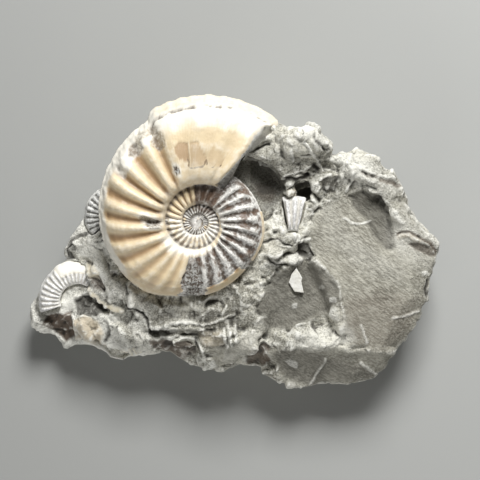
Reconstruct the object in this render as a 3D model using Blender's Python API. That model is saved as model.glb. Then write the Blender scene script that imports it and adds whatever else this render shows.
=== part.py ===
"""Fossil ribbed ammonite (Pleuroceras) on its loose block of grey matrix rock.

The specimen lies on the flat cut under the block, with the flank of the big shell up.
Lengths are written in millimetres and turned into metres by MM.
X runs right, Y runs away from the viewer and Z up. Angles along a shell are degrees
of coiling: 0 points along +X, and they grow clockwise when seen from above.
"""

import math
from dataclasses import dataclass, replace

import bmesh
import bpy
from mathutils import Vector, noise
from mathutils.geometry import delaunay_2d_cdt

MM = 0.001
GAP = 0.3                     # clearance between a fossil and the rock that holds it
COLLECTION = "fossil_pleuroceras_ammonite"

# The block, from above: its outline, clockwise from the left tip, with the height of
# the rim at each corner.
OUTLINE = (
    (-51.5, -18.5, 9), (-49.7, -15.3, 12), (-49.4, -13.3, 12.8), (-47.6, -10.3, 13),
    (-45.9, -9.8, 13.2), (-43.9, -7.0, 13.4), (-42.4, -5.3, 13.5), (-43.1, -3.3, 13.5),
    (-42.4, -1.3, 13.8), (-39.9, 2.3, 14.5), (-37.6, 4.8, 15.6), (-36.8, 7.0, 15.8),
    (-34.6, 9.8, 16.2), (-32.4, 12.0, 16.6), (-30.0, 14.5, 17.5), (-27.6, 19.5, 19),
    (-23.9, 24.3, 20), (-19.6, 28.3, 21), (-14.5, 31.3, 22), (-7.6, 33.3, 22),
    (0.0, 32.8, 23), (6.5, 31.0, 25), (10.5, 29.3, 27.5), (13.4, 28.8, 28.5),
    (14.9, 27.6, 28.5), (16.4, 28.0, 28.5), (18.6, 28.3, 28.5), (20.6, 28.3, 28),
    (22.4, 26.8, 28), (24.6, 25.8, 27), (25.1, 24.8, 26.5), (24.9, 22.5, 25.5),
    (25.6, 21.5, 25), (27.4, 21.8, 24.5), (29.9, 22.0, 24.5), (32.6, 22.8, 24),
    (34.1, 22.0, 24), (36.1, 20.8, 23.5), (38.6, 18.8, 23), (42.1, 14.8, 22.5),
    (43.6, 11.5, 22), (44.9, 9.0, 21.5), (47.6, 5.3, 21), (50.4, 2.3, 20.5),
    (51.9, -0.3, 20), (51.9, -2.3, 20), (51.6, -4.5, 20), (50.9, -7.3, 19.5),
    (49.6, -14.0, 18.5), (48.4, -17.5, 18), (46.4, -21.0, 17.5), (42.1, -26.8, 16.5),
    (38.9, -31.8, 14.5), (36.1, -35.0, 13.5), (30.9, -35.8, 13), (24.1, -36.5, 12.5),
    (16.6, -36.3, 12.5), (13.1, -35.0, 12.5), (8.9, -33.0, 12.5), (5.9, -31.6, 12.5),
    (4.1, -31.7, 12.5), (2.1, -31.0, 13.5), (-0.1, -31.8, 14), (-1.6, -32.8, 14),
    (-3.9, -32.3, 14), (-7.1, -32.0, 13.5), (-9.6, -30.8, 13.5), (-12.6, -29.3, 13.5),
    (-15.6, -27.3, 14), (-18.1, -28.5, 13), (-20.4, -29.3, 12.5), (-24.4, -29.8, 12),
    (-27.4, -30.0, 11.5), (-30.9, -29.3, 11), (-35.4, -27.0, 10.5), (-38.9, -25.8, 10),
    (-42.4, -26.3, 9.5), (-45.6, -23.3, 9.5), (-48.4, -20.3, 9.5),
)

# Creases of the top: lines along which one broken face of the rock meets the next.
CREASES = {
    "slab_front_edge": (
        (9.4, -25.6, 20), (16.6, -26.2, 20.6), (24.1, -26.2, 21.4), (30.4, -26.7, 21.3),
        (38.0, -27.2, 19.6)),
    "slab_left_edge": (
        (19.4, -1.0, 22.9), (21.6, -5.8, 22.7), (24.4, -11.8, 22.5), (26.4, -17.5, 22.1),
        (27.8, -22.6, 21.8)),
    "hollow_beside_slab": (
        (18.0, -2.8, 20.8), (20.2, -7.0, 19.8), (22.8, -12.6, 19.2), (25.0, -18.2, 19.2),
        (26.0, -22.4, 19.6)),
    "raised_strip_foot": (
        (23.2, 14.6, 24.3), (28.0, 15.4, 24.0), (31.0, 15.2, 23.4), (34.4, 13.2, 22.9),
        (37.6, 9.8, 22.6), (40.2, 6.4, 22.6), (42.6, 1.6, 22.5), (46.6, -1.2, 21.9)),
    "raised_strip_brow": (
        (24.0, 16.4, 25.4), (28.6, 16.8, 25.6), (32.4, 16.2, 25.4), (36.0, 14.0, 24.9),
        (39.4, 10.2, 24.4), (42.4, 6.2, 24.0), (45.0, 2.0, 23.4), (49.0, -0.4, 22.3)),
    "slab_front_ledge": (
        (11.0, -27.6, 18.9), (18.0, -28.4, 18.7), (26.0, -28.6, 18.8), (34.0, -29.0, 17.9)),
    "chunk_right_edge": (
        (7.6, -11.2, 22.8), (8.4, -16.8, 22.2), (8.8, -21.6, 21.6), (8.2, -24.6, 20.9)),
    "hollow_beside_chunk": (
        (9.6, -11.8, 20.6), (10.6, -17.2, 19.5), (10.9, -21.8, 19.1)),
    "chunk_front_edge": (
        (5.0, -26.6, 20.4), (1.2, -28.8, 18.4), (-2.2, -30.0, 17.2), (-5.6, -28.6, 17.8),
        (-9.8, -26.9, 18.8), (-13.2, -24.8, 19.4)),
    "brown_recess": (
        (5.4, -28.4, 15.6), (7.8, -27.8, 16.0)),
    "mould_lip": (
        (2.0, 21.6, 29.2), (5.4, 21.8, 29.6), (8.4, 20.8, 29.6), (11.2, 19.0, 29.2),
        (13.1, 16.6, 28.2), (14.3, 13.8, 26.6)),
    "mould_foot": (
        (2.2, 20.4, 24.4), (5.2, 20.4, 23.8), (7.8, 19.3, 23.2), (10.0, 17.6, 22.9),
        (11.6, 15.4, 22.8), (12.6, 12.8, 23.2)),
    "upper_chunk_crest": (
        (7.8, 29.6, 29.0), (13.2, 27.8, 30.6), (17.4, 27.0, 31.2), (21.4, 26.2, 30.6),
        (23.9, 24.4, 28.8)),
    "upper_chunk_ledge": (
        (15.6, 23.4, 30.6), (19.6, 22.6, 29.8), (22.6, 20.6, 28.4)),
    "upper_chunk_ledge_foot": (
        (16.0, 21.8, 29.2), (19.6, 21.0, 28.2), (22.0, 19.4, 27.2)),
    "sliver_ridge": (
        (-35.0, -8.6, 18.4), (-34.0, -11.6, 18.2), (-31.0, -14.4, 18.4),
        (-27.4, -17.4, 18.6)),
    "hollow_below_sliver": (
        (-36.6, -11.6, 15.6), (-34.6, -14.4, 15.6), (-31.4, -17.0, 16.0),
        (-28.2, -19.0, 17.0)),
}

# Single lumps and dips of the top, named by the part of the block that they shape.
SPOTS = {
    "slab_face": (
        (27.4, 7.4, 22.5), (23.4, 3.4, 22.8), (31.1, 1.6, 22.3), (38.6, -2.5, 22.4),
        (46.1, -6.0, 21.9), (29.9, -8.5, 22.4), (37.4, -11.3, 22.4), (44.9, -13.8, 21.4),
        (32.4, -17.5, 22.1), (40.6, -20.0, 21.0), (33.6, 8.4, 21.5), (30.2, 11.2, 22.1),
        (37.0, 4.6, 22.0), (24.4, 10.4, 23.2), (47.6, -1.8, 21.4)),
    "raised_strip": (
        (28.6, 19.5, 25.8), (33.6, 19.5, 25.6), (37.4, 16.6, 25.2), (41.0, 12.2, 24.7),
        (44.0, 7.6, 24.1), (47.0, 3.6, 23.2)),
    "slab_front": ((16.0, -32.0, 15.6), (25.0, -32.4, 15.6), (33.0, -32.0, 15.8)),
    "upper_chunk": (
        (10.0, 25.6, 31.0), (14.6, 25.0, 31.4), (11.4, 22.6, 30.6), (14.6, 19.6, 29.6),
        (17.6, 18.2, 28.0), (20.6, 17.2, 26.6), (16.6, 15.4, 27.0), (19.8, 14.2, 25.2),
        (21.6, 23.6, 29.9)),
    "mould_floor": (
        (1.5, 16.4, 22.6), (5.0, 16.0, 22.0), (8.4, 14.2, 22.0), (5.2, 12.4, 22.4),
        (8.4, 10.8, 22.8), (11.0, 9.6, 23.4)),
    "right_of_shell": (
        (9.6, 6.0, 24.4), (11.2, 2.0, 24.7), (10.0, -3.0, 24.3), (8.3, -7.6, 23.6),
        (13.6, 7.4, 25.0), (17.9, 7.2, 24.2), (13.6, 1.0, 24.9), (17.0, 2.4, 23.8),
        (13.1, -4.4, 24.0), (16.2, -3.6, 22.8), (20.4, 5.0, 23.4), (21.0, 9.8, 23.8),
        (18.6, 11.8, 19.5), (17.0, 10.0, 24.2)),
    "dark_hollow": (
        (14.9, -10.8, 20.4), (18.0, -15.0, 18.9), (14.6, -19.8, 18.6), (20.6, -20.2, 18.8),
        (12.6, -24.0, 20.2), (18.6, -24.2, 20.6)),
    "middle_chunk": (
        (1.1, -15.5, 22.8), (4.9, -20.5, 21.9), (-1.4, -21.8, 21.4), (-5.1, -25.3, 19.8),
        (-6.4, -19.8, 21.8), (-10.1, -21.8, 21.0), (-15.1, -20.5, 20.6)),
    "trench_bank": (
        (-3.9, -14.9, 22.6), (-10.1, -16.2, 22.4), (-16.4, -15.9, 22.0),
        (-21.9, -12.7, 21.6), (-26.4, -8.4, 21.2), (-29.6, -3.8, 20.8), (-31.7, 0.8, 20.4)),
    "front_left_faces": ((-13.9, -26.6, 17.2), (-9.6, -29.0, 15.6), (6.9, -30.0, 14.0)),
    "left_lumps": (
        (-38.9, 0.8, 16.4), (-35.1, -0.5, 18.8), (-37.3, -3.6, 17.2), (-32.6, -4.8, 19.8),
        (-40.8, -3.0, 14.4), (-29.9, -9.3, 20.6), (-27.4, -13.2, 20.6), (-23.9, -18.0, 20.2),
        (-20.1, -20.5, 19.6)),
    "brown_hollow": (
        (-36.4, -17.3, 14.6), (-40.1, -15.5, 13.8), (-42.6, -19.3, 11.6),
        (-43.9, -22.3, 10.4), (-40.4, -23.0, 11.0)),
    "beige_lump": (
        (-37.6, -20.7, 16.8), (-36.7, -23.8, 15.8), (-39.4, -21.0, 14.6),
        (-34.8, -22.2, 15.2), (-37.4, -18.6, 14.8)),
    "front_lumps": (
        (-30.6, -21.0, 17.6), (-27.4, -23.0, 18.0), (-23.9, -24.3, 17.4),
        (-28.9, -26.8, 14.4), (-23.9, -27.3, 14.0), (-20.1, -25.3, 16.8),
        (-32.6, -25.3, 13.8), (-17.6, -23.4, 18.4)),
    "young_shell_seat": ((-35.2, 4.5, 16.6), (-33.0, 8.0, 17.2)),
    "under_shell": (
        (-27.0, 6.0, 21.0), (-24.0, 16.0, 22.0), (-14.0, 24.0, 23.0), (-2.0, 26.0, 23.5),
        (-2.0, 19.0, 23.0), (-8.0, 10.0, 22.5), (-18.0, 8.0, 22.0), (-8.0, -4.0, 21.5),
        (-20.0, -4.0, 21.0), (0.0, 4.0, 22.5)),
}

GRID = 3.2                    # spacing of the points that roughen the top
GRID_JITTER = 0.5
GRID_REACH = 56.0             # half the side of the square that the grid covers
ROUGHNESS = 0.55              # how far the broken top stands proud or back of its faces
SIDE_ROUGHNESS = 1.4
SMOOTH_SLAB = (34.0, -6.0)    # middle of the smooth slab face, where the break is clean
SMOOTH_SLAB_REACH = 17.0
SIDE_RINGS = (                # down the sides: share of the outline, share of the rim height
    (0.995, 0.72), (0.975, 0.42), (0.90, 0.14), (0.81, 0.0))

# The section of a whorl: share of the way from the umbilical seam to the keel, then
# share of the half thickness.
PROFILE = (
    (0.00, 0.50), (0.04, 0.74), (0.10, 0.92), (0.22, 1.00), (0.45, 1.00), (0.66, 0.92),
    (0.80, 0.76), (0.89, 0.54), (0.94, 0.33), (0.965, 0.16), (1.00, 0.06))


@dataclass(frozen=True)
class Whorl:
    """A ribbed coil lying flat: its place, growth and ribs."""

    centre: tuple             # coiling axis in X and Y, and height of the keel plane
    keel: float               # radius of the keel at the last section
    seam: float               # radius of the umbilical seam at the last section
    first: float              # coiling angles of the two ends
    last: float
    steps: int                # sections from end to end
    keel_growth: float = 2.2  # growth of each radius in one turn
    seam_growth: float = 2.1
    plump: float = 0.34       # half thickness as a share of the whorl's height
    crests: tuple = ()        # coiling angles of the rib crests
    rib_height: float = 0.085  # crest to groove, as a share of the whorl's height
    lean: float = 4.0         # how many degrees a rib bends forward at its outer end
    tilt: float = 0.0         # degrees by which the far side is raised
    grow: float = 0.0         # extra size all round, for the pocket in the rock


RIB_CRESTS = (
    tuple(-788 + 13 * k for k in range(57))
    + (-44, -33, -23, -12, 0, 14, 27, 39, 53, 66, 78, 91, 103, 113, 121, 130, 139, 148)
    + (157, 172, 187, 202, 218, 234, 251, 268, 286, 304, 322))

BIG_SHELL = Whorl(
    centre=(-8.1, 5.2, 26.0), keel=31.9, seam=10.0, first=-775.0, last=305.0,
    steps=324, crests=RIB_CRESTS, tilt=5.0)
SECTIONS_A_TURN = 108
FAINT_RIBS_FROM = 240.0       # the body chamber's ribs are worn almost flat
FAINT_RIBS = 0.22
KEEL_KEPT_FROM = 243.0        # before this angle the corded keel has broken away
KEEL_RISE = 1.7
WORN_VENTER = (5.0, 130.0)    # stretch along which the venter is chipped back
WORN_DEPTH = 1.5
SHARED_COLUMNS = (0.0, 0.08, 0.22, 0.60, 1.0)
OUTER_COLUMNS = (0.72, 0.83, 0.91, 0.96, 1.0)
UNDER_COLUMNS = (0.93, 0.75)
UNDERSIDE_DEPTH = -1.0        # middle of the big shell's underside, below its keel plane

SMALL_SHELL = Whorl(
    centre=(-38.9, -14.8, 13.6), keel=10.4, seam=4.4, first=162.0, last=306.0, steps=34,
    keel_growth=1.15, seam_growth=1.1, plump=0.44, lean=3.0,
    crests=tuple(164 + 9.5 * k for k in range(16)))
YOUNG_SHELL = Whorl(
    centre=(-29.4, 6.6, 16.6), keel=8.0, seam=3.0, first=140.0, last=252.0, steps=22,
    keel_growth=1.3, seam_growth=1.2, plump=0.44, lean=3.0,
    crests=tuple(144 + 13.0 * k for k in range(9)))
SHELL_FRAGMENT = Whorl(
    centre=(15.4, -3.0, 24.0), keel=14.8, seam=6.0, first=260.0, last=284.0, steps=13,
    keel_growth=1.1, seam_growth=1.1, plump=0.24, rib_height=0.11, lean=0.0,
    crests=(255, 264, 273, 282, 291))
ARC_COLUMNS = (0.0, 0.10, 0.30, 0.58, 0.80, 0.91, 1.0)
ARC_UNDER_COLUMNS = (0.80, 0.30)

# The white calcite flake that lies in the dark hollow, as an outline from above.
FLAKE_OUTLINE = (
    (16.5, -6.1), (18.0, -8.8), (17.7, -9.6), (18.4, -12.5), (16.1, -12.2), (14.6, -9.9),
    (15.3, -7.8))
FLAKE_BASE = 19.4
FLAKE_TOP = (22.0, 20.9)      # height of its far end and of its near end

MATERIALS = {
    "matrix_rock": ((0.235, 0.222, 0.196, 1.0), 0.86),
    "big_ammonite": ((0.72, 0.60, 0.43, 1.0), 0.52),
    "small_ammonite": ((0.66, 0.64, 0.57, 1.0), 0.45),
    "young_ammonite": ((0.50, 0.50, 0.46, 1.0), 0.45),
    "ribbed_shell_fragment": ((0.60, 0.57, 0.50, 1.0), 0.45),
    "calcite_flake": ((0.83, 0.82, 0.77, 1.0), 0.40),
}


def clear_scene():
    """Remove what the scene holds and return its two new collections."""
    for thing in list(bpy.data.objects):
        bpy.data.objects.remove(thing, do_unlink=True)
    parts = bpy.data.collections.new(COLLECTION)
    cutters = bpy.data.collections.new("cutters")
    bpy.context.scene.collection.children.link(parts)
    bpy.context.scene.collection.children.link(cutters)
    return parts, cutters


def make_material(name):
    """A plain finish with the colour and roughness of the piece."""
    colour, roughness = MATERIALS[name]
    material = bpy.data.materials.new(name)
    material.use_nodes = True
    shader = material.node_tree.nodes["Principled BSDF"]
    shader.inputs["Base Color"].default_value = colour
    shader.inputs["Roughness"].default_value = roughness
    shader.inputs["Metallic"].default_value = 0.0
    return material


def new_object(name, points, faces, collection):
    """A triangulated mesh object from points in millimetres."""
    mesh = bpy.data.meshes.new(name)
    mesh.from_pydata([Vector(p) * MM for p in points], [], faces)
    shape = bmesh.new()
    shape.from_mesh(mesh)
    bmesh.ops.triangulate(shape, faces=shape.faces)
    bmesh.ops.recalc_face_normals(shape, faces=shape.faces)
    shape.to_mesh(mesh)
    shape.free()
    made = bpy.data.objects.new(name, mesh)
    collection.objects.link(made)
    return made


def smoothstep(low, high, value):
    """0 below low, 1 above high and a soft rise between them."""
    share = min(max((value - low) / (high - low), 0.0), 1.0)
    return share * share * (3.0 - 2.0 * share)


def profile_height(share):
    """Height of the section, as a share of the half thickness."""
    for (left, low), (right, high) in zip(PROFILE, PROFILE[1:]):
        if share <= right:
            return low + (high - low) * (share - left) / (right - left)
    return PROFILE[-1][1]


def keel_radius(whorl, angle):
    """Radius of the keel at a coiling angle."""
    radius = whorl.keel * whorl.keel_growth ** ((angle - whorl.last) / 360.0)
    if whorl.crests is RIB_CRESTS:
        rise = smoothstep(KEEL_KEPT_FROM, KEEL_KEPT_FROM + 6.0, angle)
        along = max(angle - KEEL_KEPT_FROM, 0.0) / (whorl.last - KEEL_KEPT_FROM)
        radius += KEEL_RISE * rise * (1.0 - along**3)
        start, end = WORN_VENTER
        worn = smoothstep(start, start + 50.0, angle) * (1.0 - smoothstep(end - 25.0, end, angle))
        radius -= WORN_DEPTH * worn
    return radius + whorl.grow


def seam_radius(whorl, angle):
    """Radius of the umbilical seam at a coiling angle."""
    return whorl.seam * whorl.seam_growth ** ((angle - whorl.last) / 360.0)


def rib_reach(whorl, angle, share):
    """How strong the ribs are at a point of the flank, from 0 to 1."""
    along = smoothstep(0.02, 0.16, share) * (1.0 - smoothstep(0.86, 0.97, share))
    if whorl.crests is RIB_CRESTS:
        faint = smoothstep(FAINT_RIBS_FROM, FAINT_RIBS_FROM + 10.0, angle)
        along *= 1.0 - (1.0 - FAINT_RIBS) * faint
    return along


def rib_wave(whorl, angle, share):
    """Relief of the ribs, from -0.5 in a groove to 0.5 on a crest."""
    turned = angle - whorl.lean * share * share
    for left, right in zip(whorl.crests, whorl.crests[1:]):
        if left <= turned < right:
            return 0.5 * math.cos(2.0 * math.pi * (turned - left) / (right - left))
    return 0.0


def whorl_point(whorl, angle, share, side, seam_height=None):
    """A point of the section; side is 1 on the upper flank and -1 on the lower."""
    keel = keel_radius(whorl, angle)
    seam = seam_radius(whorl, angle)
    height = keel - seam
    half = whorl.plump * height + whorl.grow
    rise = profile_height(share) * half if seam_height is None else seam_height
    if side > 0:
        wave = 0.5 if whorl.grow else rib_wave(whorl, angle, share)
        rise += wave * rib_reach(whorl, angle, share) * whorl.rib_height * height
    turn = math.radians(-angle)
    radius = seam + height * share
    flat = Vector((radius * math.cos(turn), radius * math.sin(turn), side * rise))
    slope = math.radians(whorl.tilt)
    x, y, z = whorl.centre
    tilted_y = flat.y * math.cos(slope) - flat.z * math.sin(slope)
    tilted_z = flat.y * math.sin(slope) + flat.z * math.cos(slope)
    return (x + flat.x, y + tilted_y, z + tilted_z)


def shared_share(whorl, angle):
    """How far up this whorl's flank the next whorl's seam lies."""
    seam = seam_radius(whorl, angle)
    return (seam_radius(whorl, angle + 360.0) - seam) / (keel_radius(whorl, angle) - seam)


def seam_height_of(whorl, angle):
    """Height of the surface of the whorl inside, where this whorl's seam lies on it."""
    inner = angle - 360.0
    height = keel_radius(whorl, inner) - seam_radius(whorl, inner)
    return profile_height(shared_share(whorl, inner)) * (whorl.plump * height + whorl.grow)


def coil_solid(name, whorl, collection):
    """The whole coil as one closed solid.

    Each turn's seam is welded to the flank of the turn inside it. The last turn goes
    round the keel to its lower seam, and ends in a broken wall.
    """
    turn = SECTIONS_A_TURN
    last_column = len(SHARED_COLUMNS) - 1
    step = (whorl.last - whorl.first) / whorl.steps
    points = []
    index = {}

    def add(key, place):
        index[key] = len(points)
        points.append(place)

    for i in range(whorl.steps + 1):
        angle = whorl.first + i * step
        limit = shared_share(whorl, angle)
        outer_turn = i >= whorl.steps - turn
        for j, column in enumerate(SHARED_COLUMNS):
            if j == 0 and i >= turn:
                index[(i, 0)] = index[(i - turn, last_column)]
            else:
                add((i, j), whorl_point(whorl, angle, limit * column, 1))
        if not outer_turn:
            continue
        column = last_column
        for share in OUTER_COLUMNS:
            column += 1
            add((i, column), whorl_point(whorl, angle, share, 1))
        for share in UNDER_COLUMNS + (limit,):
            column += 1
            add((i, column), whorl_point(whorl, angle, share, -1))
        column += 1
        if i == whorl.steps:
            index[(i, column)] = index[(i - turn, column - 1)]
        else:
            add((i, column), whorl_point(whorl, angle, 0.0, -1, seam_height_of(whorl, angle)))
    seam_column = column

    faces = []
    for i in range(whorl.steps):
        columns = seam_column if i >= whorl.steps - turn else last_column
        for j in range(columns):
            faces.append((index[(i, j)], index[(i, j + 1)], index[(i + 1, j + 1)], index[(i + 1, j)]))

    add("tip", whorl_point(whorl, whorl.first, 0.0, 1))
    x, y, z = whorl.centre
    points[index["tip"]] = (x, y, z + seam_height_of(whorl, whorl.first + 360.0))
    ring = [index[(i, 0)] for i in range(turn + 1)]
    ring += [index[(0, j)] for j in range(last_column - 1, 0, -1)]
    faces += [(index["tip"], a, b) for a, b in zip(ring, ring[1:] + ring[:1])]

    add("under", (x, y, z + UNDERSIDE_DEPTH - whorl.grow))
    start = whorl.steps - turn
    ring = [index[(i, seam_column)] for i in range(start, whorl.steps + 1)]
    faces += [(index["under"], b, a) for a, b in zip(ring, ring[1:] + ring[:1])]

    wall = [index[(whorl.steps, j)] for j in range(seam_column + 1)]
    wall += [index[(start, j)] for j in range(seam_column - 2, last_column, -1)]
    faces.append(tuple(wall))
    return new_object(name, points, faces, collection)


def arc_solid(name, whorl, collection):
    """A broken length of whorl, closed below and at both ends."""
    step = (whorl.last - whorl.first) / whorl.steps
    columns = [(share, 1) for share in ARC_COLUMNS]
    columns += [(share, -1) for share in ARC_UNDER_COLUMNS]
    points = []
    for i in range(whorl.steps + 1):
        angle = whorl.first + i * step
        points += [whorl_point(whorl, angle, share, side) for share, side in columns]
    count = len(columns)
    faces = [tuple(range(count)), tuple(range(len(points) - count, len(points)))[::-1]]
    for i in range(whorl.steps):
        for j in range(count):
            k = (j + 1) % count
            row = i * count
            faces.append((row + j, row + k, row + count + k, row + count + j))
    return new_object(name, points, faces, collection)


def relief_points():
    """Every point of the top, and the pairs that a crease or the outline joins."""
    points = [tuple(corner) for corner in OUTLINE]
    edges = []
    for line in CREASES.values():
        start = len(points)
        points += line
        edges += [(start + k, start + k + 1) for k in range(len(line) - 1)]
    for group in SPOTS.values():
        points += group
    return points, edges


def height_between(place, triangles):
    """Height of the coarse top above a point, or nothing where the top doesn't reach."""
    for a, b, c in triangles:
        area = (b.x - a.x) * (c.y - a.y) - (b.y - a.y) * (c.x - a.x)
        first = ((b.x - place.x) * (c.y - place.y) - (b.y - place.y) * (c.x - place.x)) / area
        second = ((c.x - place.x) * (a.y - place.y) - (c.y - place.y) * (a.x - place.x)) / area
        third = 1.0 - first - second
        if min(first, second, third) >= 0.0:
            return first * a.z + second * b.z + third * c.z
    return None


def clear_of(place, segments, distance):
    """Whether a point keeps its distance from every segment."""
    for start, end in segments:
        along = end - start
        share = min(max((place - start).dot(along) / max(along.length_squared, 1e-9), 0.0), 1.0)
        if (start + along * share - place).length < distance:
            return False
    return True


def grain_points(coarse, segments):
    """Points of an even, jittered grid between the hand-placed ones, on the coarse top."""
    made = []
    row = 0
    y = -GRID_REACH
    while y < GRID_REACH:
        x = -GRID_REACH + (0.5 * GRID if row % 2 else 0.0)
        while x < GRID_REACH:
            shift = noise.noise_vector(Vector((x, y, 3.7))) * GRID * GRID_JITTER
            place = Vector((x + shift.x, y + shift.y))
            height = height_between(place, coarse)
            if height is not None and clear_of(place, segments, 0.45 * GRID):
                made.append((place.x, place.y, height))
            x += GRID
        y += GRID * 0.87
        row += 1
    return made


def triangulate_top(points, edges):
    """Triangles over the points, with the outline and the creases kept as edges."""
    flat = [Vector((p[0], p[1])) for p in points]
    outline = list(range(len(OUTLINE)))
    places, _, faces, origins, _, _ = delaunay_2d_cdt(flat, edges, [outline], 1, 1e-4)
    if len(places) != len(points):
        raise ValueError("two creases of the rock cross, or two of its points meet")
    order = [min(source) for source in origins]
    return [tuple(order[v] for v in face) for face in faces]


def roughen(place, normal):
    """Where a point of the rock ends up once its surface is broken."""
    big = noise.noise(place * 0.16)
    fine = noise.noise(place * 0.45 + Vector((7.0, 3.0, 1.0)))
    upward = smoothstep(0.3, 0.8, normal.z)
    smooth = math.dist((place.x, place.y), SMOOTH_SLAB) / SMOOTH_SLAB_REACH
    calm = 0.25 + 0.75 * smoothstep(0.8, 1.2, smooth)
    amount = SIDE_ROUGHNESS * (1.0 - upward) * (big + 0.5 * fine)
    amount += ROUGHNESS * upward * calm * (big + fine)
    return place + normal * amount


def rock_solid(name, collection):
    """The block: a broken top, sides that draw in, and a flat underside."""
    points, edges = relief_points()
    coarse = [[Vector(points[v]) for v in face] for face in triangulate_top(points, edges)]
    count = len(OUTLINE)
    borders = edges + [(k, (k + 1) % count) for k in range(count)]
    segments = [(Vector(points[a][:2]), Vector(points[b][:2])) for a, b in borders]
    segments += [(Vector(p[:2]), Vector(p[:2])) for p in points]
    points += grain_points(coarse, segments)
    faces = triangulate_top(points, edges)

    solid = list(points)
    rings = [list(range(count))]
    for share, lift in SIDE_RINGS:
        rings.append([len(solid) + k for k in range(count)])
        solid += [(x * share, y * share, z * lift) for x, y, z in OUTLINE]
    for upper, lower in zip(rings, rings[1:]):
        for k in range(count):
            n = (k + 1) % count
            faces.append((upper[k], lower[k], lower[n], upper[n]))
    faces.append(tuple(rings[-1]))
    block = new_object(name, solid, faces, collection)

    foot = 0.01 * MM
    for vertex in block.data.vertices:
        if vertex.co.z > foot:
            vertex.co = roughen(vertex.co / MM, vertex.normal) * MM
    return block


def cut(block, cutter):
    """Take the cutter's form out of the block."""
    cutter.hide_render = True
    cutter.display_type = "WIRE"
    boolean = block.modifiers.new("pocket_for_" + cutter.name, "BOOLEAN")
    boolean.operation = "DIFFERENCE"
    boolean.solver = "EXACT"
    boolean.object = cutter


def apply_modifiers(thing):
    """Turn the evaluated result into the object's plain mesh, merged and in one body."""
    bpy.context.view_layer.update()
    graph = bpy.context.evaluated_depsgraph_get()
    mesh = bpy.data.meshes.new_from_object(thing.evaluated_get(graph))
    shape = bmesh.new()
    shape.from_mesh(mesh)
    bmesh.ops.remove_doubles(shape, verts=shape.verts, dist=0.01 * MM)
    bmesh.ops.dissolve_degenerate(shape, edges=shape.edges, dist=0.01 * MM)
    bmesh.ops.triangulate(shape, faces=shape.faces)
    crumbs = []
    for body in sorted(islands(shape), key=len)[:-1]:
        crumbs += body
    bmesh.ops.delete(shape, geom=crumbs, context="VERTS")
    shape.to_mesh(mesh)
    shape.free()
    thing.modifiers.clear()
    thing.data = mesh


def islands(shape):
    """The connected groups of vertices of a mesh."""
    left = set(shape.verts)
    groups = []
    while left:
        stack = [left.pop()]
        group = []
        while stack:
            vertex = stack.pop()
            group.append(vertex)
            for edge in vertex.link_edges:
                other = edge.other_vert(vertex)
                if other in left:
                    left.remove(other)
                    stack.append(other)
        groups.append(group)
    return groups


def flake_solid(name, collection, grow=0.0):
    """The calcite flake: a thin leaf whose top slopes towards the viewer."""
    middle_x = sum(x for x, _ in FLAKE_OUTLINE) / len(FLAKE_OUTLINE)
    middle_y = sum(y for _, y in FLAKE_OUTLINE) / len(FLAKE_OUTLINE)
    far = max(y for _, y in FLAKE_OUTLINE)
    near = min(y for _, y in FLAKE_OUTLINE)
    points = []
    for level in (0, 1):
        for x, y in FLAKE_OUTLINE:
            away = Vector((x - middle_x, y - middle_y)).normalized() * grow
            share = (y - near) / (far - near)
            top = FLAKE_TOP[1] + (FLAKE_TOP[0] - FLAKE_TOP[1]) * share + grow
            base = top - (FLAKE_TOP[0] - FLAKE_BASE) * 0.5 - 2.0 * grow
            points.append((x + away.x, y + away.y, top if level else base))
    count = len(FLAKE_OUTLINE)
    faces = [tuple(range(count)), tuple(range(count, 2 * count))]
    faces += [(k, (k + 1) % count, count + (k + 1) % count, count + k) for k in range(count)]
    return new_object(name, points, faces, collection)


def finish(thing, name, rounded):
    """Give a piece its finish, and smooth shading if it is a shell."""
    thing.data.materials.clear()
    thing.data.materials.append(make_material(name))
    if rounded:
        thing.data.shade_smooth()
        thing.data.set_sharp_from_angle(angle=math.radians(50))


def pocket(whorl, extra_end, inner=0.0):
    """The same whorl, larger by the gap all round and longer by an angle at both ends."""
    return replace(
        whorl, grow=GAP, seam=whorl.seam - inner, first=whorl.first - extra_end,
        last=whorl.last + extra_end)


def build():
    """Make every piece of the specimen."""
    parts, cutters = clear_scene()
    rock = rock_solid("matrix_rock", parts)
    big = coil_solid("big_ammonite", BIG_SHELL, parts)
    small = arc_solid("small_ammonite", SMALL_SHELL, parts)
    young = arc_solid("young_ammonite", YOUNG_SHELL, parts)
    fragment = arc_solid("ribbed_shell_fragment", SHELL_FRAGMENT, parts)
    flake = flake_solid("calcite_flake", parts)

    big_pocket = coil_solid("big_pocket", pocket(BIG_SHELL, 0.8), cutters)
    cut(rock, big_pocket)
    cut(young, big_pocket)
    cut(rock, arc_solid("small_pocket", pocket(SMALL_SHELL, 2.0, 2.0 * GAP), cutters))
    cut(rock, arc_solid("young_pocket", pocket(YOUNG_SHELL, 2.5, 2.0 * GAP), cutters))
    cut(rock, arc_solid("fragment_pocket", pocket(SHELL_FRAGMENT, 1.5, 2.0 * GAP), cutters))
    cut(rock, flake_solid("flake_pocket", cutters, GAP))
    apply_modifiers(young)
    apply_modifiers(rock)

    finish(rock, "matrix_rock", False)
    finish(big, "big_ammonite", True)
    finish(small, "small_ammonite", True)
    finish(young, "young_ammonite", True)
    finish(fragment, "ribbed_shell_fragment", True)
    finish(flake, "calcite_flake", False)


build()
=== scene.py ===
"""Looks of a fossil ribbed ammonite in its block of grey matrix rock.

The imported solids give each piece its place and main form. This script dresses them: the
rock gets its broken grain and the marks that are seen on it, the shells get their ribs,
worn patches and what is left of their outer layer. Lengths are in millimetres until a
mesh is made. Angles along a shell are degrees of coiling, clockwise from above.
"""

import logging
import math
from dataclasses import dataclass, field
from enum import Enum

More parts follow.
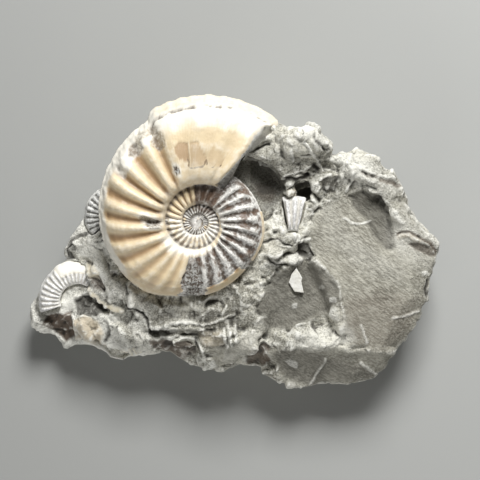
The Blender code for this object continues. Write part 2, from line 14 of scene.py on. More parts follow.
import bmesh
import bpy
import numpy as np
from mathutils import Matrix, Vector, noise
from mathutils.bvhtree import BVHTree
from mathutils.kdtree import KDTree

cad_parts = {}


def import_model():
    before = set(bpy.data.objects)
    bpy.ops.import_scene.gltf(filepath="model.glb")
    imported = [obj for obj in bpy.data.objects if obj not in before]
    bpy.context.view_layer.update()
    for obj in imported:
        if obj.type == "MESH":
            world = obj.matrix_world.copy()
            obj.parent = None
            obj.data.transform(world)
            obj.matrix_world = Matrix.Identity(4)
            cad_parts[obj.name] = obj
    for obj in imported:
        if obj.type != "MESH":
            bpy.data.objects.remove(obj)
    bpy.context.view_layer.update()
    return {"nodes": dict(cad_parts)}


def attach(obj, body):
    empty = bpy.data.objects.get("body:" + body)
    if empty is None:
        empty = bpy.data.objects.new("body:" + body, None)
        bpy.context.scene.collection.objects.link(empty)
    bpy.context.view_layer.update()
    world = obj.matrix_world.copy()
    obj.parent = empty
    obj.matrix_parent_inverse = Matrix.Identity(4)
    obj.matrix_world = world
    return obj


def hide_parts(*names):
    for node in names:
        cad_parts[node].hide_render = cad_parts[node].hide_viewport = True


MM = 0.001
SEED = 7
BODY = "root"
MERGE = 0.005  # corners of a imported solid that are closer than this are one
SHELL_MIDDLE = (-8.1, 5.2)  # where the big shell's coiling axis stands
FAR = 2.0  # distance from a crack at which nothing of it is seen

log = logging.getLogger("ammonite")

Colour = tuple[float, float, float]
Stretch = tuple[float, float, float]
Mesh = bpy.types.Mesh
Piece = bpy.types.Object
Material = bpy.types.Material
Node = bpy.types.Node
NodeTree = bpy.types.NodeTree
Socket = bpy.types.NodeSocket


class Slot(Enum):
    """Names of material slots; a small shell keeps one, which nothing reads."""

    ROCK = "matrix_rock"
    CREAM = "cream_shell"
    PALE = "pale_shell"
    GREY = "grey_shell"
    CALCITE = "white_calcite"


# Small helpers for numbers and meshes


def rise(low: float, high: float, value: np.ndarray) -> np.ndarray:
    """Soft step from 0 below low to 1 above high.

    Args:
        low: Value at which the step starts.
        high: Value at which it is whole.
        value: Numbers to test.

    Returns:
        The step at each number.
    """
    share = np.clip((value - low) / (high - low), 0.0, 1.0)
    return share * share * (3.0 - 2.0 * share)


def band(low: float, high: float, soft: float, value: np.ndarray) -> np.ndarray:
    """1 between low and high, with soft ends outside them."""
    return rise(low - soft, low, value) * (1.0 - rise(high, high + soft, value))


def grain(points: np.ndarray, scale: float, seed: float = 0.0) -> np.ndarray:
    """Smooth noise at points in millimetres.

    Args:
        points: Places, one row each.
        scale: Size of the noise's waves in millimetres.
        seed: Shift that gives another pattern.

    Returns:
        A number from about -1 to 1 for each point.
    """
    moved = points / scale + np.array([seed * 3.1, seed * 1.7, seed * 0.9])
    return np.array([noise.noise(p) for p in moved.tolist()])


def layered_grain(points: np.ndarray, scale: float, layers: int, seed: float = 0.0) -> np.ndarray:
    """Noise summed over layers, each half as large and half as strong as the last.

    Args:
        points: Places in millimetres, one row each.
        scale: Size of the first layer's waves in millimetres.
        layers: How many layers are summed.
        seed: Shift that gives another pattern.

    Returns:
        The sum for each point.
    """
    total = np.zeros(len(points))
    for layer in range(layers):
        total += grain(points, scale / 2**layer, seed + layer) / 2**layer
    return total


@dataclass(frozen=True)
class Chips:
    """Facets of a broken surface: cells, each with a plane of its own slope and height."""

    size: float
    slope: float
    step: float
    soft: float
    seed: int

    def relief(self, points: np.ndarray) -> tuple[np.ndarray, np.ndarray]:
        """Work out the facets at points in millimetres.

        Args:
            points: Places, one row each.

        Returns:
            Height of the facets, and how near each point is to a border between two,
            from 0 inside a facet to 1 on its border.
        """
        draw = np.random.default_rng(self.seed)
        low, high = points.min(0) - self.size, points.max(0) + self.size
        count = int(np.prod((high - low) / self.size))
        middles = low + draw.random((count, 3)) * (high - low)
        slopes = draw.normal(0.0, self.slope, (count, 3))
        heights = draw.normal(0.0, self.step, count)
        tree = KDTree(count)
        for k, middle in enumerate(middles.tolist()):
            tree.insert(middle, k)
        tree.balance()
        near = np.empty((len(points), 3), dtype=int)
        away = np.empty((len(points), 3))
        for k, place in enumerate(points.tolist()):
            for n, (_, index, distance) in enumerate(tree.find_n(place, 3)):
                near[k, n] = index
                away[k, n] = distance
        weights = np.exp(-(away - away[:, :1]) / self.soft)
        planes = ((points[:, None, :] - middles[near]) * slopes[near]).sum(2) + heights[near]
        border = 1.0 - rise(0.0, 0.12 * self.size, away[:, 1] - away[:, 0])
        return (weights * planes).sum(1) / weights.sum(1), border


def mesh_points(mesh: Mesh) -> np.ndarray:
    """Places of a mesh's vertices in millimetres."""
    flat = np.empty(len(mesh.vertices) * 3)
    mesh.vertices.foreach_get("co", flat)
    return flat.reshape(-1, 3) / MM


def move_points(mesh: Mesh, points: np.ndarray) -> None:
    """Put a mesh's vertices at places in millimetres."""
    mesh.vertices.foreach_set("co", (points * MM).astype(np.float32).ravel())
    mesh.update()


def mesh_normals(mesh: Mesh) -> np.ndarray:
    """Outward direction at each vertex."""
    flat = np.empty(len(mesh.vertices) * 3)
    mesh.vertex_normals.foreach_get("vector", flat)
    return flat.reshape(-1, 3)


def hollowness(mesh: Mesh, rounds: int) -> np.ndarray:
    """How far each vertex lies below its surroundings, in millimetres.

    Args:
        mesh: The surface.
        rounds: How many times the surroundings are averaged; more is wider.

    Returns:
        Positive numbers in hollows and negative ones on edges.
    """
    ends = np.empty(len(mesh.edges) * 2, dtype=np.int64)
    mesh.edges.foreach_get("vertices", ends)
    first, second = ends[0::2], ends[1::2]
    count = np.bincount(ends, minlength=len(mesh.vertices)).astype(float)[:, None]
    points = mesh_points(mesh)
    around = points
    for _ in range(rounds):
        total = np.zeros_like(points)
        np.add.at(total, first, around[second])
        np.add.at(total, second, around[first])
        around = total / np.maximum(count, 1.0)
    return ((around - points) * mesh_normals(mesh)).sum(1)


def set_attribute(mesh: Mesh, name: str, values: np.ndarray) -> None:
    """Store one number a vertex under a name that materials read."""
    layer = mesh.attributes.get(name) or mesh.attributes.new(name, "FLOAT", "POINT")
    layer.data.foreach_set("value", values.astype(np.float32))


def read_attribute(mesh: Mesh, name: str) -> np.ndarray:
    """Numbers stored on a mesh."""
    values = np.empty(len(mesh.vertices))
    mesh.attributes[name].data.foreach_get("value", values)
    return values


def face_outwards(mesh: Mesh) -> None:
    """Turn a mesh's faces outwards."""
    shape = bmesh.new()
    shape.from_mesh(mesh)
    bmesh.ops.recalc_face_normals(shape, faces=shape.faces)
    shape.to_mesh(mesh)
    shape.free()


def link_piece(name: str, mesh: Mesh) -> Piece:
    """Put a mesh into the scene as a new object."""
    piece = bpy.data.objects.new(name, mesh)
    bpy.context.scene.collection.objects.link(piece)
    return piece


def new_piece(name: str, points: np.ndarray, faces: list) -> Piece:
    """Make a mesh object with its faces turned outwards.

    Args:
        name: Name of the piece.
        points: Vertices in millimetres, one row each.
        faces: Tuples of vertex numbers.

    Returns:
        The piece.
    """
    mesh = bpy.data.meshes.new(name)
    mesh.from_pydata((points * MM).tolist(), [], faces)
    face_outwards(mesh)
    return link_piece(name, mesh)


def plain_mesh(piece: Piece) -> None:
    """Keep the evaluated shape as the piece's own mesh, without its modifiers."""
    bpy.context.view_layer.update()
    graph = bpy.context.evaluated_depsgraph_get()
    mesh = bpy.data.meshes.new_from_object(piece.evaluated_get(graph))
    piece.modifiers.clear()
    piece.data = mesh


def even_copy(solid: Piece, name: str, voxel: float) -> Piece:
    """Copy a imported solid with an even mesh.

    Args:
        solid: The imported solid, whose triangles are loose.
        name: Name of the copy.
        voxel: Size of the copy's faces in millimetres.

    Returns:
        The copy, in the solid's place.
    """
    mesh = solid.data.copy()
    piece = link_piece(name, mesh)
    shape = bmesh.new()
    shape.from_mesh(mesh)
    bmesh.ops.remove_doubles(shape, verts=shape.verts, dist=MERGE * MM)
    shape.to_mesh(mesh)
    shape.free()
    remesh = piece.modifiers.new("even_grain", "REMESH")
    remesh.mode = "VOXEL"
    remesh.voxel_size = voxel * MM
    plain_mesh(piece)
    return piece


def hand_over(piece: Piece, material: Material, node: str) -> None:
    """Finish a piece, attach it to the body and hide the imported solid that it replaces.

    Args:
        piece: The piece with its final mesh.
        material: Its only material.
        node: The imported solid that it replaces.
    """
    piece.data.materials.clear()
    piece.data.materials.append(material)
    piece.data.shade_smooth()
    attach(piece, BODY)
    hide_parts(node)


# Node trees


class Tree:
    """A node tree being built: it places nodes and joins their sockets."""

    def __init__(self, tree: NodeTree) -> None:
        """Work on the given tree."""
        self.tree = tree

    def node(self, kind: str, **settings: object) -> Node:
        """Place a node and set its properties."""
        made = self.tree.nodes.new(kind)
        for name, value in settings.items():
            setattr(made, name, value)
        return made

    def join(self, source: object, target: Socket) -> None:
        """Feed a socket from another socket or a plain value; a colour needs no alpha."""
        if isinstance(source, Socket):
            self.tree.links.new(source, target)
        elif target.type == "RGBA":
            target.default_value = (*source[:3], 1.0)
        else:
            target.default_value = source

    def math(self, operation: str, *values: object, clamp: bool = False) -> Socket:
        """A math node on sockets or numbers.

        Args:
            operation: Name of the operation, such as MULTIPLY.
            values: What its sockets are fed, in order.
            clamp: Whether the result is held between 0 and 1.

        Returns:
            The node's output.
        """
        made = self.node("ShaderNodeMath", operation=operation, use_clamp=clamp)
        for value, target in zip(values, made.inputs):
            self.join(value, target)
        return made.outputs[0]

    def blend(self, factor: object, low: object, high: object) -> Socket:
        """A mix of two colours.

        Args:
            factor: Share of the second colour, a socket or a number.
            low: The first colour, a socket or three numbers.
            high: The second colour.

        Returns:
            The mixed colour.
        """
        made = self.node("ShaderNodeMix", data_type="RGBA", blend_type="MIX", clamp_factor=True)
        self.join(factor, made.inputs[0])
        self.join(low, made.inputs[6])
        self.join(high, made.inputs[7])
        return made.outputs[2]

    def ramp(self, value: object, low: float, high: float) -> Socket:
        """A soft step of a socket's value from low to high."""
        made = self.node("ShaderNodeMapRange", interpolation_type="SMOOTHSTEP")
        self.join(value, made.inputs["Value"])
        made.inputs["From Min"].default_value = low
        made.inputs["From Max"].default_value = high
        return made.outputs["Result"]


class ShaderTree(Tree):
    """A material's or a shader group's tree."""

    def attribute(self, name: str) -> Socket:
        """A number stored on the mesh."""
        made = self.node("ShaderNodeAttribute", attribute_name=name)
        return made.outputs["Fac"]

    def noise(self, scale: float, detail: float = 4.0, stretch: float = 1.0, turn: float = 0.0) -> Socket:
        """Noise on object coordinates, longer along a direction in the plane.

        Args:
            scale: Noise scale, per metre.
            detail: Octaves.
            stretch: How many times longer the grains are along the direction.
            turn: The direction, in degrees from X.

        Returns:
            The noise, about 0.3 to 0.7.
        """
        place = self.node("ShaderNodeTexCoord")
        mapping = self.node("ShaderNodeMapping", vector_type="TEXTURE")
        mapping.inputs["Scale"].default_value = (stretch, 1.0, 1.0)
        mapping.inputs["Rotation"].default_value = (0.0, 0.0, math.radians(turn))
        self.join(place.outputs["Object"], mapping.inputs["Vector"])
        made = self.node("ShaderNodeTexNoise")
        made.inputs["Scale"].default_value = scale
        made.inputs["Detail"].default_value = detail
        self.join(mapping.outputs["Vector"], made.inputs["Vector"])
        return made.outputs["Fac"]

    def wander(self, scale: float, detail: float, by: float) -> Socket:
        """Noise about 0 that moves a border to and fro, by up to half of the given reach."""
        return self.math("MULTIPLY", self.math("SUBTRACT", self.noise(scale, detail), 0.5), by)

    def bump(self, height: object, distance: float, strength: float, under: object = None) -> Socket:
        """Fine relief that only light shows.

        Args:
            height: What the relief follows.
            distance: Its depth in metres.
            strength: How much of it shows, from 0 to 1.
            under: Normal of the relief below it, where there is one.

        Returns:
            The normal.
        """
        made = self.node("ShaderNodeBump")
        made.inputs["Distance"].default_value = distance
        made.inputs["Strength"].default_value = strength
        self.join(height, made.inputs["Height"])
        if under is not None:
            self.join(under, made.inputs["Normal"])
        return made.outputs["Normal"]


def group_sockets(tree: NodeTree, inputs: dict[str, tuple], outputs: dict[str, str]) -> None:
    """Give a node group its named inputs and outputs.

    Args:
        tree: The group's tree.
        inputs: Name to socket type and default value.
        outputs: Name to socket type.
    """
    for name, (kind, value) in inputs.items():
        made = tree.interface.new_socket(name, in_out="INPUT", socket_type=kind)
        if value is not None:
            made.default_value = value
    for name, kind in outputs.items():
        tree.interface.new_socket(name, in_out="OUTPUT", socket_type=kind)


def mottle_group() -> NodeTree:
    """Shader group: two tones in cloudy patches with fine speckle over them."""
    tree = bpy.data.node_groups.new("mottle", "ShaderNodeTree")
    group_sockets(
        tree,
        {"Light": ("NodeSocketColor", (0.8, 0.8, 0.8, 1.0)),
         "Dark": ("NodeSocketColor", (0.2, 0.2, 0.2, 1.0)),
         "Cloud Scale": ("NodeSocketFloat", 200.0),
         "Speckle Scale": ("NodeSocketFloat", 1500.0),
         "Speckle": ("NodeSocketFloat", 0.5)},
        {"Colour": "NodeSocketColor", "Height": "NodeSocketFloat"})
    build = ShaderTree(tree)
    given = build.node("NodeGroupInput")
    result = build.node("NodeGroupOutput")
    place = build.node("ShaderNodeTexCoord")
    clouds = build.node("ShaderNodeTexNoise")
    clouds.inputs["Detail"].default_value = 5.0
    specks = build.node("ShaderNodeTexNoise")
    specks.inputs["Detail"].default_value = 3.0
    for made, scale in ((clouds, "Cloud Scale"), (specks, "Speckle Scale")):
        build.join(place.outputs["Object"], made.inputs["Vector"])
        build.join(given.outputs[scale], made.inputs["Scale"])
    cloud = build.ramp(clouds.outputs["Fac"], 0.32, 0.68)
    speck = build.math("SUBTRACT", build.ramp(specks.outputs["Fac"], 0.35, 0.65), 0.5)
    speck = build.math("MULTIPLY", speck, given.outputs["Speckle"])
    factor = build.math("ADD", cloud, speck, clamp=True)
    shown = build.blend(factor, given.outputs["Dark"], given.outputs["Light"])
    build.join(shown, result.inputs["Colour"])
    build.join(factor, result.inputs["Height"])
    return tree


def bruise_and_shade_group() -> NodeTree:
    """Shader group: pale bruising on edges and painted shade in hollows, from stored numbers."""
    tree = bpy.data.node_groups.new("bruises_and_painted_shade", "ShaderNodeTree")
    group_sockets(
        tree,
        {"Colour": ("NodeSocketColor", (0.5, 0.5, 0.5, 1.0)),
         "Bruise": ("NodeSocketColor", (0.8, 0.8, 0.75, 1.0)),
         "Dirt": ("NodeSocketColor", (0.05, 0.045, 0.04, 1.0)),
         "Bruise Amount": ("NodeSocketFloat", 1.0),
         "Dirt Amount": ("NodeSocketFloat", 1.0)},
        {"Colour": "NodeSocketColor"})
    build = ShaderTree(tree)
    given = build.node("NodeGroupInput")
    result = build.node("NodeGroupOutput")
    breakup = build.ramp(build.noise(900.0, 3.0), 0.35, 0.65)
    edge = build.math("MULTIPLY", build.attribute("edge"), given.outputs["Bruise Amount"])
    broken_up = build.math("ADD", build.math("MULTIPLY", breakup, 0.7), 0.3)
    edge = build.math("MULTIPLY", edge, broken_up, clamp=True)
    # Hollows take the Shade colour as painted shade.
    hollow = build.math("MULTIPLY", build.attribute("hollow"), given.outputs["Dirt Amount"], clamp=True)
    shaded = build.blend(hollow, given.outputs["Colour"], given.outputs["Dirt"])
    build.join(build.blend(edge, shaded, given.outputs["Bruise"]), result.inputs["Colour"])
    return tree


class SharedGroups:
    """Shader groups that several materials use, built once."""

    def __init__(self) -> None:
        """Build the groups."""
        self.mottle = mottle_group()
        # wear: pale bruises on edges and painted shade in hollows.
        self.wear = bruise_and_shade_group()

    def place(self, build: ShaderTree, group: NodeTree, **values: object) -> Node:
        """Place a group in a material and feed its inputs.

        Args:
            build: The material's tree.
            group: Which group.
            values: Input names, with underscores for spaces, and what feeds them.

        Returns:
            The group's node.
        """
        made = build.node("ShaderNodeGroup", node_tree=group)
        for name, value in values.items():
            build.join(value, made.inputs[name.replace("_", " ")])
        return made


def start_material(name: str) -> tuple[Material, ShaderTree, Node]:
    """A new material, its tree and its Principled shader."""
    material = bpy.data.materials.new(name)
    material.use_nodes = True
    build = ShaderTree(material.node_tree)
    return material, build, material.node_tree.nodes["Principled BSDF"]


@dataclass(frozen=True)
class RockFinish:
    """Grey marl: cloudy mid grey, combed clean faces, pale bruises and brown stains, with painted shade:
    near-black in cracks, recesses, the cavity and on faces turned from the light, brown on some shaded
    faces and gaps.
    """

    light: Colour = (0.64, 0.621, 0.532)
    dark: Colour = (0.190, 0.181, 0.146)
    fresh_light: Colour = (0.375, 0.358, 0.296)
    fresh_dark: Colour = (0.205, 0.194, 0.156)
    shell: Colour = (0.86, 0.78, 0.60)
    # Near-black painted shade for cracks, recesses, under overhangs and faces turned from the light.
    painted_shade: Colour = (0.050, 0.046, 0.038)
    # Brown stain, and a brown painted shade on some faces and gaps turned from the light.
    brown_and_shade: Colour = (0.110, 0.075, 0.050)
    bruise: Colour = (0.84, 0.83, 0.76)
    beige: Colour = (0.58, 0.50, 0.37)
    roughness: float = 0.84
    fibre_length: float = 4.0
    fibre_turn: float = -37.0

    def fibres(self, build: ShaderTree, scale: float) -> Socket:
        """Noise combed along the clean faces' grain."""
        return build.noise(scale, 6.0, self.fibre_length, self.fibre_turn)

    def make(self, groups: SharedGroups) -> Material:
        """Build the material.

        Args:
            groups: Shared shader groups.

        Returns:
            The material.
        """
        material, build, shader = start_material("grey_marl")
        broken = groups.place(
            build, groups.mottle, Light=self.light, Dark=self.dark, Cloud_Scale=110.0,
            Speckle_Scale=2400.0, Speckle=0.9)
        fresh = groups.place(
            build, groups.mottle, Light=self.fresh_light, Dark=self.fresh_dark, Cloud_Scale=75.0,
            Speckle_Scale=3600.0, Speckle=0.5)
        streaks = build.ramp(build.noise(800.0, 5.0, 1.8, 0.0), 0.50, 0.68)
        streaked = build.blend(
            build.math("MULTIPLY", streaks, 0.45), broken.outputs["Colour"], self.bruise)
        fibres = build.math("SUBTRACT", build.ramp(self.fibres(build, 2300.0), 0.35, 0.65), 0.5)
        fibred = build.blend(
            build.math("ADD", build.math("MULTIPLY", fibres, 0.7), 0.22, clamp=True),
            fresh.outputs["Colour"], self.light)
        colour = build.blend(build.attribute("clean"), streaked, fibred)
        cloudy = build.math("ADD", broken.outputs["Height"], 0.45)
        pale = build.math("MULTIPLY", build.attribute("pale"), cloudy, clamp=True)
        colour = build.blend(pale, colour, self.bruise)
        # Tones laid over the rock: brown stain with brown painted shade, beige, shell bits, and near-black
        # painted shade.
        for name, tone in (
                ("brown_and_shade", self.brown_and_shade), ("beige", self.beige), ("shell", self.shell), ("painted_shade", self.painted_shade)):
            colour = build.blend(build.attribute(name), colour, tone)
        # Edges are bruised pale; hollows are darkened with the near-black painted shade.
        worn = groups.place(
            build, groups.wear, Colour=colour, Bruise=self.bruise, Dirt=self.painted_shade,
            Bruise_Amount=1.3, Dirt_Amount=0.85)
        build.join(worn.outputs["Colour"], shader.inputs["Base Color"])
        shader.inputs["Roughness"].default_value = self.roughness
        grit = build.bump(build.noise(2200.0, 8.0), 0.00035, 0.9)
        lumps = build.bump(build.noise(900.0, 6.0), 0.00045, 0.55, grit)
        combed = build.bump(self.fibres(build, 2000.0), 0.00016, 0.5, lumps)
        build.join(combed, shader.inputs["Normal"])
        return material


@dataclass(frozen=True)
class ShellFinish:
    """Fossil shell: a cream layer over a dark and silvery mould; its rib grooves and hollows carry painted
    shade and its crests a painted highlight.
    """

    name: str
    cream: Colour = (0.815, 0.665, 0.430)
    # tan: painted shade in the rib grooves of the cream layer.
    tan: Colour = (0.40, 0.262, 0.140)
    silver: Colour = (0.83, 0.815, 0.765)
    dark: Colour = (0.105, 0.082, 0.064)
    pyrite: Colour = (0.50, 0.50, 0.47)
    chalk: Colour = (0.93, 0.91, 0.83)
    rust: Colour = (0.47, 0.325, 0.195)
    # Dark brown of stains and cracks, and of the painted shadow on the inner turns.
    stain_and_shade: Colour = (0.135, 0.082, 0.052)
    roughness: float = 0.46

    def make(self, groups: SharedGroups) -> Material:
        """Build the material.

        Args:
            groups: Shared shader groups.

        Returns:
            The material.
        """
        material, build, shader = start_material(self.name)
        crest = build.attribute("crest")
        cream = groups.place(
            build, groups.mottle, Light=self.cream, Dark=tuple(0.84 * c for c in self.cream),
            Cloud_Scale=170.0, Speckle_Scale=900.0, Speckle=0.35)
        # The cream layer turns tan in the rib grooves: painted shade.
        layer = build.blend(build.ramp(crest, 0.60, 0.0), cream.outputs["Colour"], self.tan)
        silver = groups.place(
            build, groups.mottle, Light=self.silver, Dark=tuple(0.55 * c for c in self.silver),
            Cloud_Scale=650.0, Speckle_Scale=2400.0, Speckle=0.9)
        # On the mould the grooves are painted dark and the crests silver-white: painted shade and highlight
        # over its own silvery tone.
        groove = build.ramp(build.math("ADD", crest, build.wander(1300.0, 7.0, 1.3)), 0.62, 0.02)
        mould = build.blend(groove, silver.outputs["Colour"], self.dark)
        frayed = build.math("ADD", build.attribute("cream"), build.wander(900.0, 6.0, 0.9))
        skin = build.blend(build.ramp(frayed, 0.44, 0.56), mould, layer)
        for name, tone in (("chalk", self.chalk), ("rust", self.rust), ("stain_and_shade", self.stain_and_shade)):
            skin = build.blend(build.attribute(name), skin, tone)
        away = build.math("ADD", build.attribute("crack"), build.wander(1200.0, 4.0, 0.4))
        crack = build.math("MULTIPLY", build.ramp(away, 0.32, 0.10), 0.7)
        skin = build.blend(crack, skin, self.stain_and_shade)
        grains = build.ramp(build.noise(1700.0, 3.0), 0.42, 0.60)
        pyrite = build.blend(grains, self.dark, self.pyrite)
        skin = build.blend(build.attribute("pyrite"), skin, pyrite)
        # Edges are bruised chalky; hollows, the keel groove and the seam are darkened with painted shade.
        worn = groups.place(
            build, groups.wear, Colour=skin, Bruise=self.chalk, Dirt=self.dark,
            Bruise_Amount=0.35, Dirt_Amount=0.8)
        build.join(worn.outputs["Colour"], shader.inputs["Base Color"])
        matt = build.math("ADD", build.math("MULTIPLY", build.attribute("pyrite"), 0.2), self.roughness)
        build.join(matt, shader.inputs["Roughness"])
        fine = build.bump(build.noise(1900.0, 5.0), 0.00012, 0.45)
        soft = build.bump(build.noise(500.0, 3.0), 0.00025, 0.30, fine)
        build.join(soft, shader.inputs["Normal"])
        return material


@dataclass(frozen=True)
class CalciteFinish:
    """Chalky white calcite."""

    light: Colour = (0.90, 0.89, 0.84)
    dark: Colour = (0.74, 0.72, 0.65)
    roughness: float = 0.5

    def make(self, groups: SharedGroups) -> Material:
        """Build the material.

        Args:
            groups: Shared shader groups.

        Returns:
            The material.
        """
        material, build, shader = start_material("chalky_calcite")
        base = groups.place(
            build, groups.mottle, Light=self.light, Dark=self.dark, Cloud_Scale=500.0,
            Speckle_Scale=1800.0, Speckle=0.4)
        build.join(base.outputs["Colour"], shader.inputs["Base Color"])
        shader.inputs["Roughness"].default_value = self.roughness
        build.join(build.bump(build.noise(1500.0, 4.0), 0.0002, 0.4), shader.inputs["Normal"])
        return material


# Marks that are drawn on a surface, seen from above


class Tone(Enum):
    """How a mark is coloured; the value names the stored number."""

    # Pale marks: real pale bruises and bits, and on some faces a painted light.
    PALE = "pale"
    # Dark marks paint shade: in cracks, recesses, under overhangs and on faces turned from the light.
    DARK = "painted_shade"
    # Brown marks: brown stain, and brown painted shade on faces and gaps turned from the light.
    BROWN = "brown_and_shade"
    BEIGE = "beige"
    SHELL = "shell"


@dataclass(frozen=True)
class Line:
    """A ridge or crack along a path, seen from above.

    Lengths are in millimetres; lift is the height of the ridge, below 0 for a crack.
    """

    name: str
    tone: Tone
    strength: float
    lift: float
    width: float
    path: tuple

    def reach(self, flat: np.ndarray) -> np.ndarray:
        """How strongly the mark shows at each point, from 0 to 1."""
        away = path_distance(flat, self.path, False)
        return 1.0 - rise(0.25 * self.width, 1.1 * self.width, away)


@dataclass(frozen=True)
class Patch(Line):
    """A closed stretch with a soft border, seen from above."""

    def reach(self, flat: np.ndarray) -> np.ndarray:
        """How strongly the mark shows at each point, from 0 to 1."""
        away = path_distance(flat, self.path, True)
        away = np.where(inside_path(flat, self.path), -away, away)
        return 1.0 - rise(-0.5 * self.width, 0.5 * self.width, away)


def path_distance(flat: np.ndarray, path: tuple, closed: bool) -> np.ndarray:
    """Distance of points from a path.

    Args:
        flat: Places from above in millimetres, one row each.
        path: Corners of the path.
        closed: Whether its last corner is joined to its first.

    Returns:
        The distance of each point in millimetres.
    """
    corners = np.array(path)
    ends = np.roll(corners, -1, axis=0) if closed else corners[1:]
    best = np.full(len(flat), 1e9)
    for start, end in zip(corners, ends):
        along = end - start
        share = np.clip(((flat - start) @ along) / max(along @ along, 1e-9), 0.0, 1.0)
        best = np.minimum(best, np.hypot(*(start + share[:, None] * along - flat).T))
    return best


def inside_path(flat: np.ndarray, path: tuple) -> np.ndarray:
    """Whether points lie inside a closed path.

    Args:
        flat: Places from above in millimetres, one row each.
        path: Corners of the path.

    Returns:
        True for each point that lies inside.
    """
    x, y = flat.T
    inside = np.zeros(len(flat), dtype=bool)
    corners = list(path)
    for (x0, y0), (x1, y1) in zip(corners, corners[1:] + corners[:1]):
        if y0 != y1:
            crosses = ((y0 > y) != (y1 > y)) & (x < (x1 - x0) * (y - y0) / (y1 - y0) + x0)
            inside ^= crosses
    return inside


# The shells


# Half of a whorl's section: share of the way from seam to keel, and share of the height.
PROFILE = (
    (0.00, 0.50), (0.04, 0.74), (0.10, 0.92), (0.22, 1.00), (0.45, 1.00), (0.66, 0.92),
    (0.80, 0.76), (0.89, 0.54), (0.94, 0.33), (0.965, 0.16), (1.00, 0.06))

PROFILE_STEPS = 401
ROUNDING = 23  # steps over which the section's corners are rounded off


def smooth_profile() -> tuple[np.ndarray, np.ndarray]:
    """The section's height over its share, with its corners rounded off."""
    shares = np.linspace(0.0, 1.0, PROFILE_STEPS)
    known = np.array(PROFILE)
    heights = np.interp(shares, known[:, 0], known[:, 1])
    weights = np.hanning(ROUNDING)
    weights /= weights.sum()
    padded = np.pad(heights, ROUNDING // 2, mode="edge")
    return shares, np.convolve(padded, weights, mode="valid")


PROFILE_SHARES, PROFILE_HEIGHTS = smooth_profile()


def profile_height(share: np.ndarray) -> np.ndarray:
    """Height of the section as a share of the half thickness."""
    return np.interp(share, PROFILE_SHARES, PROFILE_HEIGHTS)


@dataclass
class Whorl:
    """A ribbed coil: its place, growth and ribs, with the meshes made from them.

    Keel and seam are radii at the last angle, and each growth is a factor a turn. Crests
    are the ribs' angles, lean is how far a rib turns forward from seam to keel, and
    plumpness and rib height are shares of the whorl's height.
    """

    name: str
    centre: tuple[float, float, float]
    keel: float
    seam: float
    first: float
    last: float
    keel_growth: float = 2.2
    seam_growth: float = 2.1
    plump: float = 0.34
    crests: tuple = ()
    rib_height: float = 0.085
    lean: float = 4.0
    tilt: float = 0.0

    def keel_extra(self, angle: np.ndarray) -> np.ndarray:
        """Change of the keel's radius from its spiral, in millimetres."""
        return np.zeros_like(angle)

    def keel_radius(self, angle: np.ndarray) -> np.ndarray:
        """Radius of the keel."""
        return self.keel * self.keel_growth ** ((angle - self.last) / 360.0) + self.keel_extra(angle)

    def seam_radius(self, angle: np.ndarray) -> np.ndarray:
        """Radius of the umbilical seam."""
        return self.seam * self.seam_growth ** ((angle - self.last) / 360.0)

    def rib_wave(self, angle: np.ndarray, share: np.ndarray) -> np.ndarray:
        """Relief of the ribs from -0.5 in a groove to 0.5 on a crest."""
        turned = angle - self.lean * share * share
        known = np.array(self.crests, dtype=float)
        phase = np.interp(turned, known, np.arange(len(known)))
        inside = (turned >= known[0]) & (turned < known[-1])
        wave = 0.5 + 0.5 * np.cos(2.0 * math.pi * phase)
        return np.where(inside, wave**1.1 - 0.5, 0.0)

    def rib_reach(self, angle: np.ndarray, share: np.ndarray) -> np.ndarray:
        """How strong the ribs are, from 0 to 1."""
        return rise(0.02, 0.14, share) * (1.0 - rise(0.84, 0.95, share))

    def layout(self) -> dict[str, object]:
        """Sizes for the inputs of the whorl tree."""
        return {
            "Keel Radius": self.keel * MM, "Seam Radius": self.seam * MM,
            "Keel Growth": self.keel_growth, "Seam Growth": self.seam_growth,
            "Last Angle": self.last, "Plumpness": self.plump, "Rib Height": self.rib_height,
            "Tilt": math.radians(self.tilt), "Centre": tuple(c * MM for c in self.centre)}


